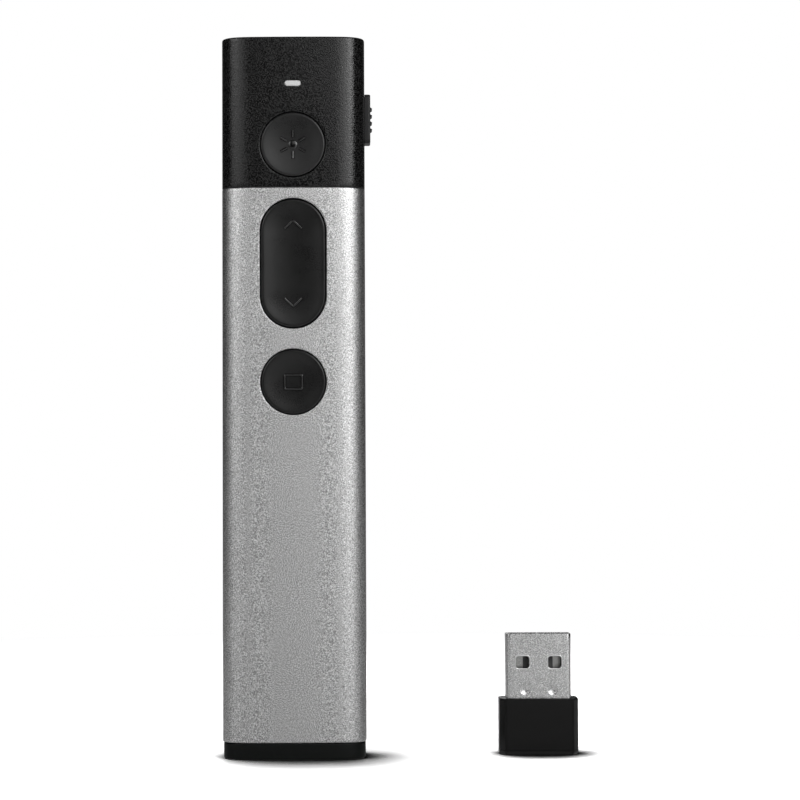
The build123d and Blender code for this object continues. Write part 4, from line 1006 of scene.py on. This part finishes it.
def plugOutline(inset):
    # a rounded box that starts in the middle of its front, the same count at each inset
    x, y = plug["width"] / 2 - inset, plug["depth"] / 2 - inset
    r = max(plug["smallestCorner"], plug["corner"] - inset)
    quarter = [(plug["panelHalfWidth"] * k / plug["panelSteps"], -y) for k in range(plug["panelSteps"] + 1)]
    for k in range(plug["cornerSteps"] + 1):
        a = -math.pi / 2 * (1 - k / plug["cornerSteps"])
        quarter.append((x - r + r * math.cos(a), -y + r + r * math.sin(a)))
    return fromQuarter(quarter + [(x, 0.0)])


def plugLoop(outline, z):
    return levelLoop(shape, outline, z, (plugX, plugY))


def plugRing(z, inset):
    return plugLoop(plugOutline(inset), z)


def plugFace(side, inset=0.0):
    # side -1 is the front, 1 the rear
    return plugY + side * (plug["depth"] / 2 - inset)


def windowOutline(centreX, grown):
    outline = roundedBox(plug["windowWidth"] + 2 * grown, plug["windowHeight"] + 2 * grown,
                         plug["windowCorner"] + grown, 5)
    return [(plugX + centreX + x, plug["windowZ"] + z) for x, z in outline]


def plugWindow(side, centreX):
    # rings over a rounded rim and through the wall
    rim = plug["windowRim"]
    profile = [(rim + plug["windowSupport"], 0)] + [(b, a) for a, b in rounding(rim)] + [(0, plug["wall"])]
    loops = [frontLoop(shape, windowOutline(centreX, grown), plugFace(side) - side * depth)
             for grown, depth in profile]
    bridgeAll(shape, loops)
    return loops[0], loops[-1]


def plugDimple(centreX):
    faceY, radius, depth = plugFace(-1), plug["dimpleRadius"], plug["dimpleDepth"]
    ball, steps = dishBall(radius, depth), plug["dimpleSteps"]
    profile = []
    for k in range(steps):
        d = radius * k / steps
        profile.append((d, faceY + depth - ball + math.sqrt(ball ** 2 - d ** 2)))
    profile.append((radius, faceY + plug["dimpleEdge"]))
    profile += [(radius + out, faceY) for out in plug["dimpleSupport"]]
    loops = [frontLoop(shape, pill(0, d, 40, (plugX + centreX, plug["dimpleZ"])), y) for d, y in profile]
    bridgeAll(shape, loops)
    return loops[-1]


def plugWall(rows, inset, holes):
    return panelWall(shape, lambda z: plugRing(z, inset), rows, plug["panel"], plug["panelSteps"],
                     plug["spareSpacing"], [
                         (False, holes[-1], lambda x, z: (x, plugFace(-1, inset), z)),
                         (True, holes[1], lambda x, z: (x, plugFace(1, inset), z))])


shape = newShape()
skinHoles, boreHoles = {-1: [], 1: []}, {-1: [], 1: []}
windowPlaces = [(side, centreX) for side in (-1, 1) for centreX in (-plug["windowX"], plug["windowX"])]
for side, centreX in windowPlaces:
    outerLoop, innerLoop = plugWindow(side, centreX)
    skinHoles[side].append(outerLoop)
    boreHoles[side].append(innerLoop)
skinHoles[-1] += [plugDimple(centreX) for centreX in (-plug["dimpleX"], plug["dimpleX"])]
panelRows, tip = rowsBetween(*plug["panel"], plug["rowStep"]), plug["tipEdge"]
skin = plugWall([shellLow.z] + panelRows + [shellHigh.z - tip], 0.0, skinHoles)
bore = plugWall([shellLow.z] + panelRows + [shellHigh.z], plug["wall"], boreHoles)
tipLoops = [plugRing(shellHigh.z - along, inward) for inward, along in rounding(tip)]
bridgeAll(shape, [skin[-1]] + tipLoops + [bore[-1]])
bridge(shape, skin[0], bore[0])
cutter = newShape()
rearY, halfGap, reach = plugY + plug["depth"] / 2, plug["seamHalfGap"], plug["seamReach"]
addBox(cutter, (plugX - halfGap, rearY - reach, shellLow.z - 1),
       (plugX + halfGap, rearY + reach, shellHigh.z + 1))
finishPiece(cutAway(meshFrom(shape, "plugShell"), cutter), "plugShell", "receiver", "usb_steel",
            ["usb_shell"])

burrPaths = []
for side, centreX in windowPlaces:
    y = plugY + side * (plug["depth"] / 2 + plug["burrHeight"] - plug["burrWidth"] / 2)
    burrPaths.append([(x, y, z) for x, z in windowOutline(centreX, plug["windowRim"])])
ridgePiece("windowBurrs", "receiver", "usb_steel", "burnishedEdge", plug["burrWidth"], burrPaths, closed=True)

grip = {
    "bevelWidth": 0.93,
    "bevelDepth": 1.3,
    "bottomBevel": 0.65,       # the chamfer under the front and back
    "bottomSide": 0.15,        # and under the sides
    "cornerRadius": 0.25,
    "cornerSteps": 3,
    "topEdge": 0.12,
    "topSupport": 0.2,
    "socketGap": 0.05,
    "pocket": (11.1, 3.9, 0.3),             # width, depth and corner of the hollow under the plug
    "pocketFloor": 0.9,
    "grooveIn": 0.18,          # a fine groove frames the front and back panels
    "grooveWidth": 0.16,
    "grooveDepth": 0.1,
    "grooveSlope": 0.03,
}
halfW, halfD = (gripHigh.x - gripLow.x) / 2, (gripHigh.y - gripLow.y) / 2
near, far = grip["grooveIn"], grip["grooveIn"] + grip["grooveWidth"]
deep, slope = grip["grooveDepth"], grip["grooveSlope"]


def gripOutline(sideInset, frontInset):
    w, d = halfW - sideInset, halfD - frontInset
    bw, bd = grip["bevelWidth"], grip["bevelDepth"]
    corners = [(-w + bw, -d), (w - bw, -d), (w, -d + bd), (w, d - bd), (w - bw, d), (-w + bw, d),
               (-w, d - bd), (-w, -d + bd)]
    outline = roundedCorners(corners, grip["cornerRadius"], grip["cornerSteps"])
    start, each = w - bw, grip["cornerSteps"] + 1
    groove = [(start - near, -d), (start - near - slope, -d + deep), (start - far + slope, -d + deep),
              (start - far, -d)]
    front = [(-x, y) for x, y in groove] + groove[::-1]
    rear = [(-x, -y) for x, y in front]
    return outline[:each] + front + outline[each:5 * each] + rear + outline[5 * each:]


# height, side inset and front inset of each ring, from the bottom's chamfers over the groove to the top
side, chamfer = grip["bottomSide"], grip["bottomBevel"]
gripRows = [(0.0, side + 0.04, chamfer + 0.04), (0.03, side, chamfer), (side, 0.03, chamfer - side + 0.03),
            (side + 0.1, 0.0, chamfer - side - 0.08), (chamfer, 0.0, 0.02), (chamfer + 0.06, 0.0, 0.0)]
grooveZ, grooveTop = chamfer + near, chamfer + near + grip["grooveWidth"]
gripRows += [(grooveZ, 0.0, 0.0), (grooveZ + slope, deep, deep), (grooveTop - slope, deep, deep),
             (grooveTop, 0.0, 0.0), (gripHigh.z - grip["topEdge"] - grip["topSupport"], 0.0, 0.0)]
gripRows += [(gripHigh.z - along, inward, inward) for inward, along in rounding(grip["topEdge"])]
shape = newShape()
gripLoops = [plugLoop(gripOutline(sideInset, frontInset), z) for z, sideInset, frontInset in gripRows]
gap = 2 * grip["socketGap"]
socketOutline = roundedBox(plug["width"] + gap, plug["depth"] + gap, plug["corner"], 5)
socket = [plugLoop(socketOutline, z) for z in (gripHigh.z, shellLow.z)]
pocket = [plugLoop(roundedBox(*grip["pocket"], 5), z) for z in (shellLow.z, grip["pocketFloor"])]
for loops in (gripLoops, socket, pocket):
    bridgeAll(shape, loops)
fillPanel(shape, gripLoops[0])
fillPanel(shape, gripLoops[-1], [socket[0]])
fillPanel(shape, socket[1], [pocket[0]])
fillPanel(shape, pocket[1])
finishPiece(shape, "receiverGrip", "receiver", "receiver_plastic", ["receiver_cap"])
print("receiver made")


# battery spring as round wire
spring = {
    "wire": 0.25,
    "turns": 4.0,
    "bottomRadius": 3.4,
    "topRadius": 2.42,
}
springLow, springHigh = boxInMm("battery_spring")
springMesh = grow(coils, pathMesh([(0, 0, 0), (0, 0, 1)]), "springSteel", {
    "Turns": spring["turns"], "Bottom Radius": spring["bottomRadius"] * mm,
    "Top Radius": spring["topRadius"] * mm, "Wire Radius": spring["wire"] * mm,
    "Height": (springHigh.z - springLow.z - 2 * spring["wire"]) * mm})
springMesh.transform(Matrix.Translation((batteryX * mm, 0, (springLow.z + spring["wire"]) * mm)))
finishPiece(springMesh, "batterySpring", "end_cap", "steel", ["battery_spring"], smoothAngle=60)
print("spring made")

# CAD nodes that stay get their finish by slot
for name, nodeObject in frame["nodes"].items():
    if nodeObject.hide_render:
        continue
    named = [m["slot"] for m in frame["record"]["materials"] if name in (m.get("nodes") or [])]
    worn = [m.name.split(".")[0] for m in nodeObject.data.materials if m]
    slotName = next(slot for slot in named + worn if slot in finishOfSlot)
    nodeObject.data.materials.clear()
    nodeObject.data.materials.append(finishes[finishOfSlot[slotName]])
print("inner nodes finished")


# floor, backdrop, lamps, world
stage = {
    "floorSize": 6.0,          # metres, as all lengths here
    "floorTone": 0.9,
    "shownTone": 6.2,          # the floor's colour as the camera sees it, so that lit floor is white
    "middle": (0.02, 0, 0),
    "whiteSpan": (0.16, 0.32),          # away from the middle, where the floor fades to plain white
    "pointerReach": 0.022,     # how far the contact shadow spreads
    "receiverReach": 0.008,
    "reachSpan": (0.026, 0.034),        # from left to right, where one reach turns into the other
    "shadowLean": (-0.2, 0.3, 0.8),
    "shadowFrom": 0.38,        # the share of open sky that shows as black
    "shadowLeft": 0.8,         # the shadow's depth on the left, in front and on the right of the pointer
    "shadowFront": 2.0,
    "shadowRight": 2.8,
    "leftSpan": (-0.017, -0.012),
    "rightSpan": (0.006, 0.014),
    "backdropGlow": 0.08,
    "roomGlow": 0.02,
    "glowSpan": (0.45, 0.9),   # how far a direction points backwards
}


def makeFloor():
    floorMesh = bpy.data.meshes.new("floor")
    h = stage["floorSize"] / 2
    floorMesh.from_pydata([(-h, -h, 0), (h, -h, 0), (h, h, 0), (-h, h, 0)], [], [(0, 1, 2, 3)])
    paint = bpy.data.materials.new("floorPaint")
    paint.use_nodes = True
    tree = paint.node_tree
    tree.nodes.remove(tree.nodes["Principled BSDF"])
    place = addNode(tree, "ShaderNodeTexCoord").outputs["Object"]
    away = addNode(tree, "ShaderNodeVectorMath", {0: place, 1: stage["middle"]}, operation="DISTANCE")
    fade = mapped(tree, away.outputs["Value"], *stage["whiteSpan"], interpolation_type="SMOOTHSTEP")
    across = addNode(tree, "ShaderNodeSeparateXYZ", {0: place}).outputs["X"]
    reach = mapped(tree, across, *stage["reachSpan"], stage["pointerReach"], stage["receiverReach"])
    power = mapped(tree, across, *stage["leftSpan"], stage["shadowLeft"], stage["shadowFront"])
    extra = mapped(tree, across, *stage["rightSpan"], 0.0, stage["shadowRight"] - stage["shadowFront"])
    lean = addNode(tree, "ShaderNodeCombineXYZ", dict(zip("XYZ", stage["shadowLean"])))
    contact = addNode(tree, "ShaderNodeAmbientOcclusion", {
        "Distance": reach, "Normal": lean.outputs[0]}, samples=16)
    openShare = mapped(tree, contact.outputs["AO"], stage["shadowFrom"], 1.0)
    deepened = reckon(tree, "POWER", openShare, reckon(tree, "ADD", power, extra))
    shownTone = reckon(tree, "MULTIPLY", deepened, stage["shownTone"])
    plain = addNode(tree, "ShaderNodeBsdfDiffuse", {"Color": shade(1.0, stage["floorTone"])})
    near = addNode(tree, "ShaderNodeBsdfDiffuse", {"Color": shownTone})
    far = addNode(tree, "ShaderNodeEmission", {"Strength": 1.0})
    shown = addNode(tree, "ShaderNodeMixShader", {0: fade, 1: near.outputs[0], 2: far.outputs[0]})
    mixed = addNode(tree, "ShaderNodeMixShader", {
        0: addNode(tree, "ShaderNodeLightPath").outputs["Is Camera Ray"], 1: plain.outputs[0],
        2: shown.outputs[0]})
    feed(tree, tree.nodes["Material Output"], {"Surface": mixed.outputs[0]})
    floorMesh.materials.append(paint)
    asObject(floorMesh, "floor")


def makeWorld():
    # white to the camera; the object sees a glowing backdrop behind it and a dim room in front
    world = bpy.data.worlds.new("studio")
    bpy.context.scene.world = world
    world.use_nodes = True
    tree = world.node_tree
    direction = addNode(tree, "ShaderNodeSeparateXYZ", {
        0: addNode(tree, "ShaderNodeTexCoord").outputs["Generated"]})
    glow = mapped(tree, direction.outputs["Y"], *stage["glowSpan"], stage["roomGlow"],
                  stage["backdropGlow"], interpolation_type="SMOOTHSTEP")
    around, white = [addNode(tree, "ShaderNodeBackground", {"Color": (1, 1, 1, 1), "Strength": strength})
                     for strength in (glow, 1.0)]
    chosen = addNode(tree, "ShaderNodeMixShader", {
        0: addNode(tree, "ShaderNodeLightPath").outputs["Is Camera Ray"], 1: around.outputs[0],
        2: white.outputs[0]})
    feed(tree, tree.nodes["World Output"], {"Surface": chosen.outputs[0]})


makeFloor()
makeWorld()

# softboxes by azimuth from the camera's side, height angle, size in mm and power in watts
softboxes = {
    "rightKey": dict(azimuth=36, height=26, size=(160, 260), power=0.86),
    "rightInner": dict(azimuth=20, height=26, size=(180, 260), power=0.36),
    "rightLow": dict(azimuth=27, height=5, size=(320, 220), power=0.27),
    "leftKey": dict(azimuth=-46, height=30, size=(220, 220), power=0.55),
    "leftLow": dict(azimuth=-46, height=8, size=(220, 260), power=0.12),
    "leftInner": dict(azimuth=-28, height=20, size=(200, 300), power=0.22),
    "frontFill": dict(azimuth=4, height=26, size=(160, 220), power=0.1),
    "backBox": dict(azimuth=180, height=48, size=(500, 300), power=0.5),
    "backLow": dict(azimuth=184, height=14, size=(260, 300), power=0.14),
    "tableBox": dict(azimuth=10, height=78, size=(400, 400), power=0.15),
}
lampAim, lampDistance = Vector((10, 0, 66)), 600
for name, box in softboxes.items():
    lamp = bpy.data.lights.new(name, "AREA")
    lamp.shape = "RECTANGLE"
    lamp.size, lamp.size_y = box["size"][0] * mm, box["size"][1] * mm
    lamp.energy = box["power"]
    turn, lift = math.radians(box["azimuth"]), math.radians(box["height"])
    away = Vector((math.sin(turn) * math.cos(lift), -math.cos(turn) * math.cos(lift), math.sin(lift)))
    holder = asObject(lamp, name)
    holder.location = (lampAim + away * lampDistance) * mm
    holder.rotation_euler = (-away).to_track_quat("-Z", "Y").to_euler()
    holder.visible_camera = False

# camera at the photograph's place
view = {
    "place": (10.0, -400.0, 50.85),         # millimetres
    "pitchUp": 2.164,          # degrees
    "roll": -0.0036,           # radians
    "lens": 96.57,
    "sensor": 36.0,
    "shiftX": 0.065,
    "clip": (0.01, 20),
}
camera = bpy.data.cameras.new("camera")
camera.lens, camera.sensor_width, camera.shift_x = view["lens"], view["sensor"], view["shiftX"]
camera.clip_start, camera.clip_end = view["clip"]
cameraHolder = asObject(camera, "camera")
cameraHolder.matrix_world = (Matrix.Translation(Vector(view["place"]) * mm)
                             @ Matrix.Rotation(math.radians(90 + view["pitchUp"]), 4, "X")
                             @ Matrix.Rotation(view["roll"], 4, "Z"))
bpy.context.scene.camera = cameraHolder
bpy.context.scene.view_settings.view_transform = "Standard"
print("stage, lamps and camera made")
